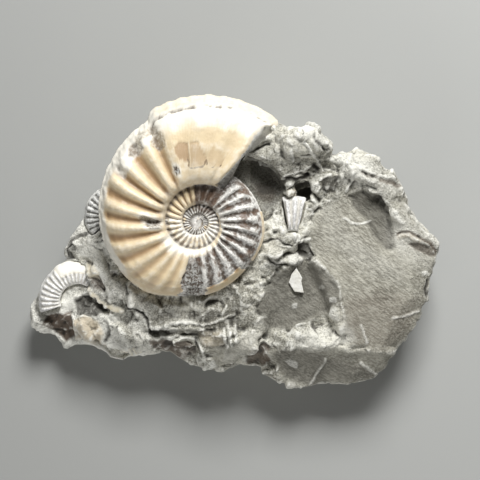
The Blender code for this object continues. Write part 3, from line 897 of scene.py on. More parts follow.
def whorl_tree() -> NodeTree:
    """Geometry nodes: lay a flat strip of coil numbers out as a ribbed whorl.

    Each vertex brings its coiling angle, its share of the way from seam to keel, the
    section's height there and the rib's relief. The tree works out radius and height.
    """
    tree = bpy.data.node_groups.new("ribbed_whorl", "GeometryNodeTree")
    group_sockets(
        tree,
        {"Strip": ("NodeSocketGeometry", None),
         "Keel Radius": ("NodeSocketFloat", 0.03),
         "Seam Radius": ("NodeSocketFloat", 0.01),
         "Keel Growth": ("NodeSocketFloat", 2.2),
         "Seam Growth": ("NodeSocketFloat", 2.1),
         "Last Angle": ("NodeSocketFloat", 305.0),
         "Plumpness": ("NodeSocketFloat", 0.34),
         "Rib Height": ("NodeSocketFloat", 0.08),
         "Tilt": ("NodeSocketFloat", 0.0),
         "Centre": ("NodeSocketVector", (0.0, 0.0, 0.0)),
         "Finish": ("NodeSocketMaterial", None)},
        {"Whorl": "NodeSocketGeometry"})
    build = Tree(tree)
    given = build.node("NodeGroupInput")
    result = build.node("NodeGroupOutput")

    def stored(name: str) -> Socket:
        """A number stored on the strip."""
        made = build.node("GeometryNodeInputNamedAttribute", data_type="FLOAT")
        made.inputs["Name"].default_value = name
        return made.outputs["Attribute"]

    turns = build.math(
        "DIVIDE", build.math("SUBTRACT", stored("coil_angle"), given.outputs["Last Angle"]), 360.0)
    keel = build.math(
        "MULTIPLY", given.outputs["Keel Radius"],
        build.math("POWER", given.outputs["Keel Growth"], turns))
    keel = build.math("ADD", keel, stored("keel_extra"))
    seam = build.math(
        "MULTIPLY", given.outputs["Seam Radius"],
        build.math("POWER", given.outputs["Seam Growth"], turns))
    height = build.math("SUBTRACT", keel, seam)
    radius = build.math("ADD", seam, build.math("MULTIPLY", height, stored("share")))
    half = build.math("MULTIPLY", height, given.outputs["Plumpness"])
    half = build.math("MULTIPLY", half, stored("section"))
    ribs = build.math("MULTIPLY", height, given.outputs["Rib Height"])
    ribs = build.math("MULTIPLY", ribs, stored("rib"))
    lift = build.math("ADD", half, ribs)
    turn = build.math("MULTIPLY", stored("coil_angle"), -math.pi / 180.0)
    place = build.node("ShaderNodeCombineXYZ")
    build.join(build.math("MULTIPLY", radius, build.math("COSINE", turn)), place.inputs["X"])
    build.join(build.math("MULTIPLY", radius, build.math("SINE", turn)), place.inputs["Y"])
    build.join(lift, place.inputs["Z"])
    tilted = build.node("ShaderNodeVectorRotate", rotation_type="X_AXIS")
    build.join(place.outputs[0], tilted.inputs["Vector"])
    build.join(given.outputs["Tilt"], tilted.inputs["Angle"])
    moved = build.node("ShaderNodeVectorMath", operation="ADD")
    build.join(tilted.outputs[0], moved.inputs[0])
    build.join(given.outputs["Centre"], moved.inputs[1])
    laid = build.node("GeometryNodeSetPosition")
    build.join(given.outputs["Strip"], laid.inputs["Geometry"])
    build.join(moved.outputs[0], laid.inputs["Position"])
    real = build.node("GeometryNodeRealizeInstances")
    build.join(laid.outputs[0], real.inputs["Geometry"])
    finished = build.node("GeometryNodeSetMaterial")
    build.join(real.outputs[0], finished.inputs["Geometry"])
    build.join(given.outputs["Finish"], finished.inputs["Material"])
    build.join(finished.outputs[0], result.inputs["Whorl"])
    return tree


def run_tree(piece: Piece, tree: NodeTree, values: dict[str, object]) -> None:
    """Run a geometry tree on a piece, and keep the result as its mesh.

    Args:
        piece: The piece that the tree works on.
        tree: The geometry tree.
        values: Names of its inputs and what they are set to.
    """
    modifier = piece.modifiers.new(tree.name, "NODES")
    modifier.node_group = tree
    for item in tree.interface.items_tree:
        if item.in_out == "INPUT" and item.name in values:
            modifier[item.identifier] = values[item.name]
    plain_mesh(piece)


@dataclass
class Strip:
    """The numbers of a coil's vertices before they are laid out."""

    angle: list = field(default_factory=list)
    share: list = field(default_factory=list)
    side: list = field(default_factory=list)
    section: list = field(default_factory=list)
    faces: list = field(default_factory=list)

    def add(self, angle: float, share: float, side: float, section: float) -> int:
        """Add a vertex and return its index."""
        self.angle.append(angle)
        self.share.append(share)
        self.side.append(side)
        self.section.append(section)
        return len(self.angle) - 1

    def ahead(self, vertex: int, by: float) -> int:
        """Add a vertex some degrees ahead of another and a little inside the shell."""
        return self.add(
            self.angle[vertex] + by, 0.04 + 0.9 * self.share[vertex], self.side[vertex],
            0.86 * self.section[vertex])

    def lay(self, whorl: Whorl, tree: NodeTree, material: Material) -> Piece:
        """Make the strip a mesh and run the whorl tree on it.

        Args:
            whorl: The coil's measures.
            tree: The geometry tree of a ribbed whorl.
            material: Material that the tree sets.

        Returns:
            The whorl, laid out in its place.
        """
        angle = np.array(self.angle)
        share = np.array(self.share)
        side = np.array(self.side)
        section = np.array(self.section)
        flat = np.stack([angle * 0.01, share, side], axis=1)
        piece = new_piece(whorl.name, flat, self.faces)
        rib = np.where(side > 0, whorl.rib_wave(angle, share) * whorl.rib_reach(angle, share), 0.0)
        for name, values in (
                ("coil_angle", angle), ("share", share), ("section", section * side),
                ("rib", rib), ("side", side), ("keel_extra", whorl.keel_extra(angle) * MM)):
            set_attribute(piece.data, name, values)
        run_tree(piece, tree, whorl.layout() | {"Finish": material})
        face_outwards(piece.data)
        return piece


@dataclass(frozen=True)
class Flank:
    """Where a shell's vertices lie, and the raggedness that the borders on it share."""

    points: np.ndarray
    angle: np.ndarray
    share: np.ndarray
    radius: np.ndarray
    ragged: np.ndarray


@dataclass(frozen=True)
class Spot:
    """A ragged round patch: its angle, its radius, its half sizes in degrees and millimetres."""

    at: float
    out: float
    wide: float
    high: float
    strength: float = 1.0

    def reach(self, flank: Flank) -> np.ndarray:
        """How strongly the patch shows at each vertex."""
        away = np.hypot((flank.angle - self.at) / self.wide, (flank.radius - self.out) / self.high)
        return self.strength * (1.0 - rise(0.75, 1.05, away + 0.35 * flank.ragged))


def strongest(patches: tuple, places: object) -> np.ndarray:
    """The strongest of several patches at each place."""
    return np.max([patch.reach(places) for patch in patches], axis=0)


# Angles of the rib crests: the inner turns by a rule, then the last turn as it is seen.
RIB_CRESTS = (
    tuple(-788 + 13 * k for k in range(57))
    + (-45, -33, -20, -6, 6, 18, 30, 41, 54, 67, 82, 96, 107, 118, 130, 143)
    + (159, 175, 189, 204, 217, 235, 251, 268, 286, 304, 322))

# Granular patch on the mould, then the small dark spots of the last turn.
GRANULAR_SPOTS = (
    Spot(94.0, 14.5, 11.0, 4.6), Spot(180.0, 10.9, 8.0, 2.0, 0.85), Spot(186.0, 12.6, 3.4, 2.2, 0.75),
    Spot(230.0, 23.2, 6.0, 1.7, 0.5), Spot(245.0, 21.6, 5.0, 2.7, 0.5), Spot(249.5, 13.4, 3.4, 1.4),
    Spot(240.0, 25.0, 8.0, 1.1, 0.45))
SPOT_RIMS = (Spot(181.0, 11.2, 11.5, 2.9), Spot(187.0, 12.7, 5.6, 3.0), Spot(249.5, 13.4, 5.2, 2.1))

# Where the body chamber's outer layer is worn off, and the crack along its lower side.
WORN_PATCHES = (
    Patch("worn_dark", Tone.BROWN, 0.85, 0, 0.3, (
        (-13.6, 23.2), (-12.5, 24.6), (-10.3, 24.3), (-9.9, 20.4), (-11.1, 20.0), (-12.5, 20.4),
        (-13.4, 21.8))),
    Patch("worn_middle", Tone.BROWN, 0.5, 0, 0.3, (
        (-9.8, 24.6), (-7.8, 24.7), (-7.0, 22.9), (-5.7, 21.0), (-6.7, 18.8), (-9.6, 18.3))),
    Patch("worn_light", Tone.BROWN, 0.32, 0, 0.3, (
        (-5.5, 21.3), (-4.2, 23.4), (-2.0, 22.4), (-0.6, 20.2), (-1.7, 18.2), (-5.2, 18.8))),
)
WORN_CRACK = (
    (-10.3, 20.2), (-9.9, 19.4), (-10.1, 18.6), (-9.0, 18.1), (-8.2, 18.5), (-6.9, 18.5), (-6.2, 19.2),
    (-5.8, 20.4), (-5.5, 18.9), (-4.2, 18.4), (-3.4, 18.7), (-2.0, 18.2), (-1.4, 18.7))


@dataclass
class BigAmmonite(Whorl):
    """The main shell, three turns and a broken mouth.

    A stretch is given by its first and last angle and by the softness of its ends. The
    coil's mesh has so many steps a turn, and so many columns on the flank that the next
    turn leaves in sight, on the rest of the last turn, and on its underside. The mouth's
    edge is drawn back by an angle at each share of the way from seam to keel.
    """

    turn: int = 600
    turns: int = 3
    shared_columns: int = 15
    outer_columns: int = 38
    under_columns: int = 10
    keel_kept_from: float = 243.0
    keel_rise: float = 1.7
    worn_from: float = 5.0
    worn_to: float = 130.0
    worn_depth: float = 1.5
    faint_from: float = 240.0
    faint: float = 0.22
    chamber_from: float = 200.0
    core_to: float = -420.0
    mouth_edge: tuple = (
        (0.0, 12.0), (0.15, 7.0), (0.35, 4.0), (0.6, 3.2), (0.84, 3.4), (0.91, -2.0), (1.0, -3.5))
    mouth_reach: float = 24.0
    layer: float = 0.22
    filling: float = 3.4
    cream_edge: float = 104.0
    cream_strip: Stretch = (46.0, 82.0, 2.0)
    cream_line: Stretch = (-8.0, 34.0, 3.0)
    cream_inner: Stretch = (-166.0, -97.0, 3.0)
    cream_clouds: Stretch = (-362.0, -160.0, 8.0)
    cream_rim: Stretch = (-20.0, 250.0, 20.0)
    stained: Stretch = (-40.0, 92.0, 12.0)
    broken_left: Stretch = (150.0, 214.0, 10.0)
    broken_upper: Stretch = (214.0, 247.0, 5.0)
    chalk_and_highlight_mouth: Stretch = (247.0, 306.0, 6.0)
    chalk_seam: Stretch = (62.0, 152.0, 12.0)
    chalk_inner: Stretch = (-362.0, -170.0, 10.0)
    corded: Stretch = (243.0, 310.0, 4.0)
    cord_step: float = 6.4
    cord_height: float = 0.20
    grooved: Stretch = (246.0, 310.0, 4.0)
    groove_depth: float = 0.38
    growth_step: float = 1.7
    growth_height: float = 0.02
    granular_depth: float = 0.28
    worn_layer: float = 0.16
    crack_depth: float = 0.16
    layer_from: float = -200.0
    # Centre offset and radius of the painted shadow that the umbilical wall casts on the inner turns, with
    # their grime.
    shadow_grime_off: tuple[float, float] = (2.3, 5.9)
    shadow_grime_radius: float = 4.1

    def keel_extra(self, angle: np.ndarray) -> np.ndarray:
        """Keel that is kept near the mouth, less what is worn off the venter."""
        kept = rise(self.keel_kept_from, self.keel_kept_from + 6.0, angle)
        along = np.clip((angle - self.keel_kept_from) / (self.last - self.keel_kept_from), 0.0, 1.0)
        worn = rise(self.worn_from, self.worn_from + 50.0, angle)
        worn = worn * (1.0 - rise(self.worn_to - 25.0, self.worn_to, angle))
        return self.keel_rise * kept * (1.0 - along**3) - self.worn_depth * worn

    def on_chamber(self, angle: np.ndarray) -> np.ndarray:
        """The smooth body chamber, where the ribs have faded."""
        return rise(self.faint_from, self.faint_from + 10.0, angle)

    def rib_reach(self, angle: np.ndarray, share: np.ndarray) -> np.ndarray:
        """Ribs fade to almost nothing on the body chamber, and are low before 140 degrees."""
        low = 0.36 + 0.64 * rise(120.0, 172.0, angle) + 0.45 * (1.0 - rise(98.0, 106.0, angle))
        reach = super().rib_reach(angle, share) * np.where(angle > 60.0, low, 0.8)
        return reach * (1.0 - (1.0 - self.faint) * self.on_chamber(angle))

    def shared_share(self, angle: float) -> float:
        """How far up this turn's flank the next turn's seam lies."""
        at = np.array([angle])
        seam = self.seam_radius(at)[0]
        return (self.seam_radius(at + 360.0)[0] - seam) / (self.keel_radius(at)[0] - seam)

    def strip(self) -> Strip:
        """Numbers and faces of the welded coil."""
        made = Strip()
        shared = np.linspace(0.0, 1.0, self.shared_columns) ** 1.15
        outer = np.linspace(0.0, 1.0, self.outer_columns + 1)[1:]
        under = np.linspace(1.0, 0.0, self.under_columns + 1)[1:]
        steps = self.turn * self.turns
        step = 360.0 / self.turn
        index: dict[tuple[int, int], int] = {}
        last_shared = len(shared) - 1
        for i in range(steps + 1):
            angle = self.first + i * step
            limit = self.shared_share(angle)
            last_turn = i >= steps - self.turn
            for j, column in enumerate(shared):
                if j == 0 and i >= self.turn:
                    index[i, 0] = index[i - self.turn, last_shared]
                else:
                    share = limit * column
                    index[i, j] = made.add(angle, share, 1.0, float(profile_height(share)))
            if not last_turn:
                continue
            column = last_shared
            for side, parts in ((1.0, outer), (-1.0, under)):
                for part in parts:
                    column += 1
                    share = limit + (1.0 - limit) * part
                    index[i, column] = made.add(angle, share, side, float(profile_height(share)))
            column += 1
            if i == steps:
                index[i, column] = index[i - self.turn, column - 1]
            else:
                index[i, column] = made.add(angle, 0.0, -1.0, self.seam_section(angle))
        self.join(made, index, last_shared, column, steps)
        return made

    def seam_section(self, angle: float) -> float:
        """Height, as a share of the half thickness, at which the lower seam lies."""
        at = np.array([angle])
        inner = at - 360.0
        height = (self.keel_radius(at) - self.seam_radius(at))[0]
        inner_height = (self.keel_radius(inner) - self.seam_radius(inner))[0]
        return float(profile_height(self.shared_share(angle - 360.0)) * inner_height / height)

    def join(self, made: Strip, index: dict, last_shared: int, seam_column: int, steps: int) -> None:
        """Add the faces of the coil, its tip, its underside and its broken mouth.

        Args:
            made: The strip with its vertices.
            index: Vertex at each step and column.
            last_shared: Column at which a turn meets the next one's seam.
            seam_column: Last column, at the lower seam.
            steps: Number of steps along the coil.
        """
        start = steps - self.turn
        for i in range(steps):
            columns = seam_column if i >= start else last_shared
            for j in range(columns):
                made.faces.append((index[i, j], index[i, j + 1], index[i + 1, j + 1], index[i + 1, j]))
        tip = made.add(self.first, 0.0, 1.0, 0.5)
        ring = [index[i, 0] for i in range(self.turn + 1)]
        ring += [index[0, j] for j in range(last_shared - 1, 0, -1)]
        made.faces += [(tip, a, b) for a, b in zip(ring, ring[1:] + ring[:1])]
        under = made.add(self.first, 0.0, -1.0, 0.5)
        ring = [index[i, seam_column] for i in range(start, steps + 1)]
        made.faces += [(under, b, a) for a, b in zip(ring, ring[1:] + ring[:1])]
        wall = [index[steps, j] for j in range(seam_column + 1)]
        wall += [index[start, j] for j in range(seam_column - 2, last_shared, -1)]
        inner = [made.ahead(vertex, self.filling) for vertex in wall]
        for k in range(len(wall)):
            after = (k + 1) % len(wall)
            made.faces.append((wall[k], wall[after], inner[after], inner[k]))
        made.faces.append(tuple(inner))

    def flank(self, points: np.ndarray, angle: np.ndarray, share: np.ndarray) -> Flank:
        """Where the vertices lie on the shell.

        Args:
            points: Vertices in millimetres.
            angle: Coiling angle of each.
            share: Share from seam to keel of each.

        Returns:
            Their places, with radius and raggedness.
        """
        ragged = grain(points, 2.6, 3.0) + 0.6 * grain(points, 0.9, 5.0)
        radius = np.hypot(points[:, 0] - self.centre[0], points[:, 1] - self.centre[1])
        return Flank(points, angle, share, radius, ragged)

    def cream_layer(self, at: Flank) -> np.ndarray:
        """Where the cream outer layer is kept.

        Args:
            at: The vertices.

        Returns:
            Its strength at each vertex, from 0 to 1.
        """
        wavy = at.angle + 3.0 * at.ragged
        outer = rise(self.cream_edge - 0.4, self.cream_edge + 0.4, wavy) * (at.angle <= self.last)
        strip = band(*self.cream_strip, wavy) * rise(0.83, 0.86, at.share + 0.03 * at.ragged)
        line = band(*self.cream_line, at.angle) * rise(0.94, 0.96, at.share + 0.01 * at.ragged)
        inner = band(*self.cream_inner, at.angle + 4.0 * at.ragged)
        clouds = band(*self.cream_clouds, at.angle) * (0.5 + 0.5 * np.clip(at.ragged, -1.0, 1.0))
        rim_width = 0.04 + 0.12 * rise(0.0, 100.0, at.angle)
        past_rim = rise(0.8, 1.3, (at.share + 0.03 * at.ragged) / rim_width)
        rim = band(*self.cream_rim, at.angle) * (1.0 - past_rim)
        core = (1.0 - rise(self.core_to - 50.0, self.core_to, at.angle)) * 0.4
        return np.clip(outer + strip + line + inner + clouds + rim + core, 0.0, 1.0)

    def shadow_and_grime(self, at: Flank) -> np.ndarray:
        """Where the umbilical wall's shadow is painted on the innermost turns, over dark grime, from 0 to
        1.
        """
        x = at.points[:, 0] - self.centre[0] - self.shadow_grime_off[0]
        y = at.points[:, 1] - self.centre[1] - self.shadow_grime_off[1]
        shadow_and_grime = 1.0 - rise(0.65, 1.15, np.hypot(x, y) / self.shadow_grime_radius + 0.25 * at.ragged)
        return shadow_and_grime * (at.angle < -46.0) * rise(2.4, 3.2, at.radius)

    def chalk(self, at: Flank, broken: np.ndarray, shadow_and_grime: np.ndarray) -> np.ndarray:
        """Where the shell is chalky white; on the upper flank by the mouth, which faces the light, the
        white is also a painted highlight.

        Args:
            at: The vertices.
            broken: Where the outer layer is broken back from the keel.
            shadow_and_grime: Where painted shadow and grime cover the shell.

        Returns:
            The strength of the white at each vertex.
        """
        # By the mouth the upper flank faces the light: its white is chalk and a painted highlight.
        chalk = band(*self.chalk_and_highlight_mouth, at.angle) * rise(0.58, 0.84, at.share + 0.04 * at.ragged) * 0.8
        chalk = chalk * (1.0 - 0.6 * rise(0.90, 0.93, at.share))
        past_seam = rise(0.10, 0.20, at.share + 0.05 * at.ragged)
        seam = band(*self.chalk_seam, at.angle) * (1.0 - past_seam)
        frosted = band(*self.chalk_inner, at.angle) * rise(-0.9, 0.6, grain(at.points, 0.8, 37.0))
        for part, strength in (
                (broken, 0.8), (strongest(SPOT_RIMS, at), 0.7), (seam, 0.75), (frosted, 0.85)):
            chalk = np.maximum(chalk, strength * part)
        return chalk * (1.0 - shadow_and_grime)

    def patches(self, at: Flank) -> dict[str, np.ndarray]:
        """Where the shell is cream, granular, chalky, rusty, stained, cracked or broken, and where shadow
        is painted on its inner turns.

        Args:
            at: The vertices.

        Returns:
            Name of each finish to its strength at each vertex; a crack is a distance.
        """
        cream, shadow_and_grime, pyrite = self.cream_layer(at), self.shadow_and_grime(at), strongest(GRANULAR_SPOTS, at)
        left = band(*self.broken_left, at.angle) * rise(0.88, 0.93, at.share + 0.03 * at.ragged)
        upper = band(*self.broken_upper, at.angle) * rise(0.70, 0.76, at.share + 0.05 * at.ragged)
        broken = np.maximum(left, upper)
        flat = at.points[:, :2] + 0.12 * np.stack([at.ragged, grain(at.points, 1.1, 59.0)], axis=1)
        rust = np.max([worn.strength * worn.reach(flat) for worn in WORN_PATCHES], axis=0)
        crack = np.clip(path_distance(flat, WORN_CRACK, False), 0.0, FAR)
        late = at.angle > self.chamber_from
        stained = band(*self.stained, at.angle) * rise(0.1, 0.5, at.ragged) * (1.0 - cream)
        # Real stains, plus the umbilical wall's shadow painted on the inner turns.
        stain_and_shade = np.clip(0.85 * stained + 0.9 * shadow_and_grime * rise(-0.8, 0.2, at.ragged), 0.0, 0.92)
        return {
            "cream": cream, "pyrite": pyrite, "rust": rust * late, "stain_and_shade": stain_and_shade,
            "crack": np.where(late, crack, FAR), "shadow_and_grime": shadow_and_grime, "broken": broken,
            "chalk": self.chalk(at, broken, shadow_and_grime) * (1.0 - pyrite)}

    def keel_groove(self, at: Flank, top: np.ndarray) -> np.ndarray:
        """The groove beside the corded keel, from 0 to 1."""
        groove = band(*self.grooved, at.angle) * band(0.885, 0.905, 0.02, at.share + 0.012 * at.ragged)
        return groove * top * rise(-0.5, 0.3, at.ragged)

    def relief(self, at: Flank, marks: dict[str, np.ndarray], groove: np.ndarray,
               top: np.ndarray) -> np.ndarray:
        """Fine relief of the shell.

        Args:
            at: The vertices.
            marks: Strength of each finish.
            groove: The groove beside the keel.
            top: 1 on the upper side and 0 below.

        Returns:
            Height in millimetres.
        """
        relief = self.layer * (np.round(marks["cream"]) - 0.5) * top * (at.angle > self.layer_from)
        relief -= self.granular_depth * marks["pyrite"] * top
        relief -= self.worn_layer * np.clip(marks["rust"] * 2.5, 0.0, 1.0) * top
        relief -= self.crack_depth * (1.0 - rise(0.1, 0.4, marks["crack"])) * top
        relief += 0.06 * layered_grain(at.points, 2.2, 3, 11.0)
        coarse = 0.03 + 0.12 * marks["pyrite"] + 0.06 * (1.0 - marks["cream"]) + 0.16 * marks["shadow_and_grime"]
        relief += grain(at.points, 0.55, 17.0) * coarse
        relief += 0.30 * marks["broken"] * grain(at.points, 1.3, 19.0) * top
        cords = 0.5 + 0.5 * np.cos(2.0 * math.pi * at.angle / self.cord_step + 1.5 * at.ragged)
        keel = band(*self.corded, at.angle) * rise(0.90, 0.94, at.share) * top
        keel_relief = self.cord_height * cords + 0.14 * grain(at.points, 1.1, 21.0)
        relief += keel * keel_relief - self.groove_depth * groove
        lines = at.angle - self.lean * at.share * at.share
        growth = np.cos(2.0 * math.pi * lines / self.growth_step + 2.0 * at.ragged)
        return relief + self.growth_height * growth * marks["cream"] * top * rise(0.1, 0.3, at.share)

    def build(self, tree: NodeTree, groups: SharedGroups, finish: ShellFinish) -> Piece:
        """Make the shell and its finish.

        Args:
            tree: The geometry tree of a ribbed whorl.
            groups: Shared shader groups.
            finish: The shell's finish.

        Returns:
            The dressed shell.
        """
        material = finish.make(groups)
        piece = self.strip().lay(self, tree, material)
        mesh = piece.data
        angle, share, side, rib = (
            read_attribute(mesh, name) for name in ("coil_angle", "share", "side", "rib"))
        at = self.flank(mesh_points(mesh), angle, share)
        marks = self.patches(at)
        top = (side > 0).astype(float)
        groove = self.keel_groove(at, top)
        points = at.points + mesh_normals(mesh) * self.relief(at, marks, groove, top)[:, None]
        points = self.break_mouth(points, angle, np.where((side > 0) | (share > 0.9), share, 0.0))
        move_points(mesh, points)

        hollow = hollowness(mesh, 12)
        chamber = self.on_chamber(angle)
        crest = (rib + 0.5) * (1.0 - chamber) + (0.55 + 0.7 * rib) * chamber
        crest = np.where(angle < self.core_to, 0.45 + 0.5 * rib, crest)
        # Painted shade at the seam, where the next turn covers this one, and in the rib grooves of the
        # inner turns, partly grime.
        seam_shade_and_grime = (1.0 - rise(0.0, 0.05, share)) * 0.8 * (angle > self.core_to)
        seam_shade_and_grime = np.maximum(seam_shade_and_grime, 1.1 * (angle < -97.0) * (1.0 - rise(-0.35, 0.05, rib)) * (rib < 0.0))
        # hollow: painted shade in hollows, the keel groove and at the seam; edge: chalky bruises on edges.
        numbers = {name: marks[name] for name in ("cream", "pyrite", "rust", "stain_and_shade")} | {
            "crest": np.clip(crest, 0.0, 1.0),
            "chalk": np.clip(marks["chalk"], 0.0, 1.0),
            "crack": np.where(side > 0, marks["crack"], FAR),
            "edge": rise(0.03, 0.12, -hollow) * (1.0 - 0.75 * marks["shadow_and_grime"]),
            "hollow": np.clip(rise(0.05, 0.22, hollow) * 0.7 + groove * 0.6 + seam_shade_and_grime * 0.5, 0.0, 1.0)}
        for name, values in numbers.items():
            set_attribute(mesh, name, values)
        hand_over(piece, material, "big_ammonite")
        return piece

    def break_mouth(self, points: np.ndarray, angle: np.ndarray, share: np.ndarray) -> np.ndarray:
        """Draw the mouth's edge back unevenly, most of all near the seam.

        Args:
            points: Vertices in millimetres.
            angle: Coiling angle of each.
            share: Share from seam to keel of each.

        Returns:
            The vertices in their new places.
        """
        near = rise(self.last - self.mouth_reach, self.last, angle)
        ragged = 0.9 * grain(points, 3.4, 23.0) + 0.5 * grain(points, 1.1, 29.0)
        shares, backs = zip(*self.mouth_edge)
        back = np.interp(share, shares, backs) + 1.3 * ragged
        turn = np.radians(back * near)
        x, y = points[:, 0] - self.centre[0], points[:, 1] - self.centre[1]
        moved = points.copy()
        moved[:, 0] = self.centre[0] + x * np.cos(turn) - y * np.sin(turn)
        moved[:, 1] = self.centre[1] + x * np.sin(turn) + y * np.cos(turn)
        return moved


@dataclass
class SmallWhorl(Whorl):
    """A broken length of a smaller shell."""

    node: str = ""
    slot: Slot = Slot.GREY
    sections: int = 220
    upper_columns: int = 40
    under_columns: int = 12
    dome_from: float = 900.0
    dome_height: float = 0.3
    end_drop: float = 0.25
    wear: float = 0.10

    def dome(self, angle: np.ndarray, share: np.ndarray) -> np.ndarray:
        """Where the outer shell is kept as a smooth white dome."""
        return rise(self.dome_from, self.dome_from + 12.0, angle) * rise(0.38, 0.55, share)

    def rib_reach(self, angle: np.ndarray, share: np.ndarray) -> np.ndarray:
        """The ribs don't show through the dome."""
        return super().rib_reach(angle, share) * (1.0 - self.dome(angle, share))

    def strip(self) -> Strip:
        """Numbers and faces of the closed arc."""
        made = Strip()
        columns = [(share, 1.0) for share in np.linspace(0.0, 1.0, self.upper_columns)]
        under = np.linspace(1.0, 0.0, self.under_columns + 2)[1:-1]
        columns += [(share, -1.0) for share in under]
        count = len(columns)
        for i in range(self.sections + 1):
            angle = self.first + (self.last - self.first) * i / self.sections
            for share, side in columns:
                made.add(angle, share, side, float(profile_height(share)))
        for i in range(self.sections):
            for j in range(count):
                k, row = (j + 1) % count, i * count
                made.faces.append((row + j, row + k, row + count + k, row + count + j))
        made.faces.append(tuple(range(count)))
        end = self.sections * count
        made.faces.append(tuple(range(end + count - 1, end - 1, -1)))
        return made

    def build(self, tree: NodeTree, groups: SharedGroups, finish: ShellFinish) -> Piece:
        """Make the piece of shell and its finish.

        Args:
            tree: The geometry tree of a ribbed whorl.
            groups: Shared shader groups.
            finish: The shell's finish.

        Returns:
            The dressed piece.
        """
        material = finish.make(groups)
        piece = self.strip().lay(self, tree, material)
        mesh = piece.data
        angle, share, rib = (read_attribute(mesh, name) for name in ("coil_angle", "share", "rib"))
        points = mesh_points(mesh)
        dome = self.dome(angle, share)
        ends = 1.0 - band(self.first + 3.0, self.last - 3.0, 4.0, angle)
        relief = self.wear * layered_grain(points, 1.3, 3, 31.0) + self.dome_height * dome
        relief -= self.end_drop * ends
        move_points(mesh, points + mesh_normals(mesh) * relief[:, None])
        hollow = hollowness(mesh, 8)
        none = np.zeros(len(points))
        numbers = {
            "crest": np.clip(rib + 0.5, 0.0, 1.0), "cream": dome, "chalk": dome, "rust": none,
            "stain_and_shade": none, "pyrite": none, "crack": none + FAR, "edge": rise(0.02, 0.09, -hollow),
            "hollow": rise(0.03, 0.15, hollow)}
        for name, values in numbers.items():
            set_attribute(mesh, name, values)
        hand_over(piece, material, self.node)
        return piece


# The rock


# What is seen on the top of the block, stretch by stretch. Each mark has its name, tone,
# strength of the tone, lift, width of the line or of the border, and path.
ARCH_MARKS = (
    Patch("arch_face", Tone.DARK, 0.25, 0, 0.8, (
        (7.9, 24.2), (13.9, 23.2), (17.4, 20.8), (18.9, 18.2), (13.4, 16.8), (10.4, 19.5), (5.9, 21.8))),
    # The cavity under the arch and the shelf below it are painted dark as their shade.
    Patch("cavity", Tone.DARK, 0.75, -0.3, 0.8, (
        (4.9, 20.8), (9.4, 19.8), (11.9, 17.8), (12.9, 15.8), (13.6, 13.2), (11.9, 11.8), (7.6, 12.2),
        (4.9, 15.5))),
    Patch("cavity_stain", Tone.BROWN, 0.55, 0, 1, (
        (6.4, 15.2), (9.4, 14.8), (11.4, 12.8), (10.4, 10.2), (7.9, 10.8), (5.9, 12.8))),
    Line("arch_sliver", Tone.PALE, 1, 0.35, 0.35, ((14.8, 23.2), (15.1, 21.8), (15.2, 20))),
    Line("shelf_line", Tone.PALE, 0.8, 0.4, 0.4, ((13.4, 16.5), (15.9, 17.2), (18.4, 17.8), (20.4, 19.2))),
    Line("shelf_shadow", Tone.DARK, 0.9, -1, 0.9, ((13.6, 15.5), (16.6, 15.5), (19.6, 16))),
    Patch("notch", Tone.DARK, 0.65, -0.7, 0.6, (
        (20.4, 19.8), (22.4, 18.8), (22.6, 16.8), (21.4, 16.5), (19.4, 17.5))),
    # crest_light: a painted highlight on the crest that faces the light.
    Patch("crest_light", Tone.PALE, 0.3, 0.1, 1.2, (
        (16.9, 27.8), (20.4, 28.2), (24.4, 25.8), (24.9, 23.2), (22.9, 23.2), (19.4, 25.2))),
    Line("crest_ridge", Tone.PALE, 0.8, 0.5, 0.45, ((17.9, 25), (19.9, 22.5), (21.9, 20), (23.4, 18))),
    Line("crest_scar", Tone.DARK, 0.8, -0.5, 0.5, ((20.6, 26.2), (21.9, 24.2), (22.9, 23.2))),
    Line("ledge_crack", Tone.DARK, 0.9, -0.5, 0.4, ((3.1, 21.5), (5.9, 23), (8.1, 23.8), (9.4, 24.2))),
)
FAR_EDGE_MARKS = (
    Patch("join_light", Tone.PALE, 0.55, 0.3, 0.9, (
        (24.9, 21.2), (28.9, 20.8), (30.4, 18.2), (28.9, 17.8), (25.9, 18.8))),
    Line("round_rim", Tone.PALE, 1, 0.5, 0.45, (
        (26.9, 20.2), (29.1, 19.2), (30.4, 17.5), (30.4, 15.5), (28.9, 13))),
    Patch("round_rim_inside", Tone.PALE, 0.2, 0.25, 0.8, (
        (26.9, 18.8), (28.9, 18.2), (29.6, 16.2), (28.9, 14.2), (27.4, 14.2))),
    Patch("rim_dark", Tone.DARK, 0.6, -0.5, 0.9, (
        (22.6, 16.2), (25.9, 16.8), (26.9, 14.8), (26.4, 12.8), (22.9, 12.8))),
    Patch("hole", Tone.DARK, 0.6, -0.6, 0.6, (
        (17.4, 12.7), (19.9, 12.9), (20.4, 11.3), (18.2, 10.4), (16.9, 11.2))),
    Patch("knob", Tone.BEIGE, 0.7, 0.8, 0.6, (
        (14.1, 13.2), (15.9, 13.5), (17.1, 12.5), (16.4, 11.2), (14.6, 11.5))),
    Patch("pale_knob", Tone.PALE, 0.45, 0.7, 0.6, (
        (19.6, 14.8), (21.4, 15.5), (22.4, 14), (21.4, 12.5), (20.1, 13))),
    Line("strip_crack_a", Tone.BROWN, 0.45, -0.3, 0.7, ((32.9, 17.5), (34.4, 16.5), (36.1, 16.8))),
    Line("strip_crack_b", Tone.BROWN, 0.6, -0.4, 0.8, ((37.4, 15.5), (39.9, 15), (41.9, 14.2))),
    Line("strip_light_a", Tone.PALE, 0.7, 0.4, 0.5, (
        (31.4, 18.8), (33.9, 17.8), (36.9, 16.8), (40.4, 15.8))),
    Line("strip_light_b", Tone.PALE, 0.45, 0.3, 0.9, ((35.4, 13.2), (39.4, 9.2), (42.9, 5.2))),
    Line("strip_light_c", Tone.PALE, 0.5, 0.2, 0.8, ((43.6, 9.5), (46.4, 5.8), (49.4, 1.8), (51.4, -0.8))),
)
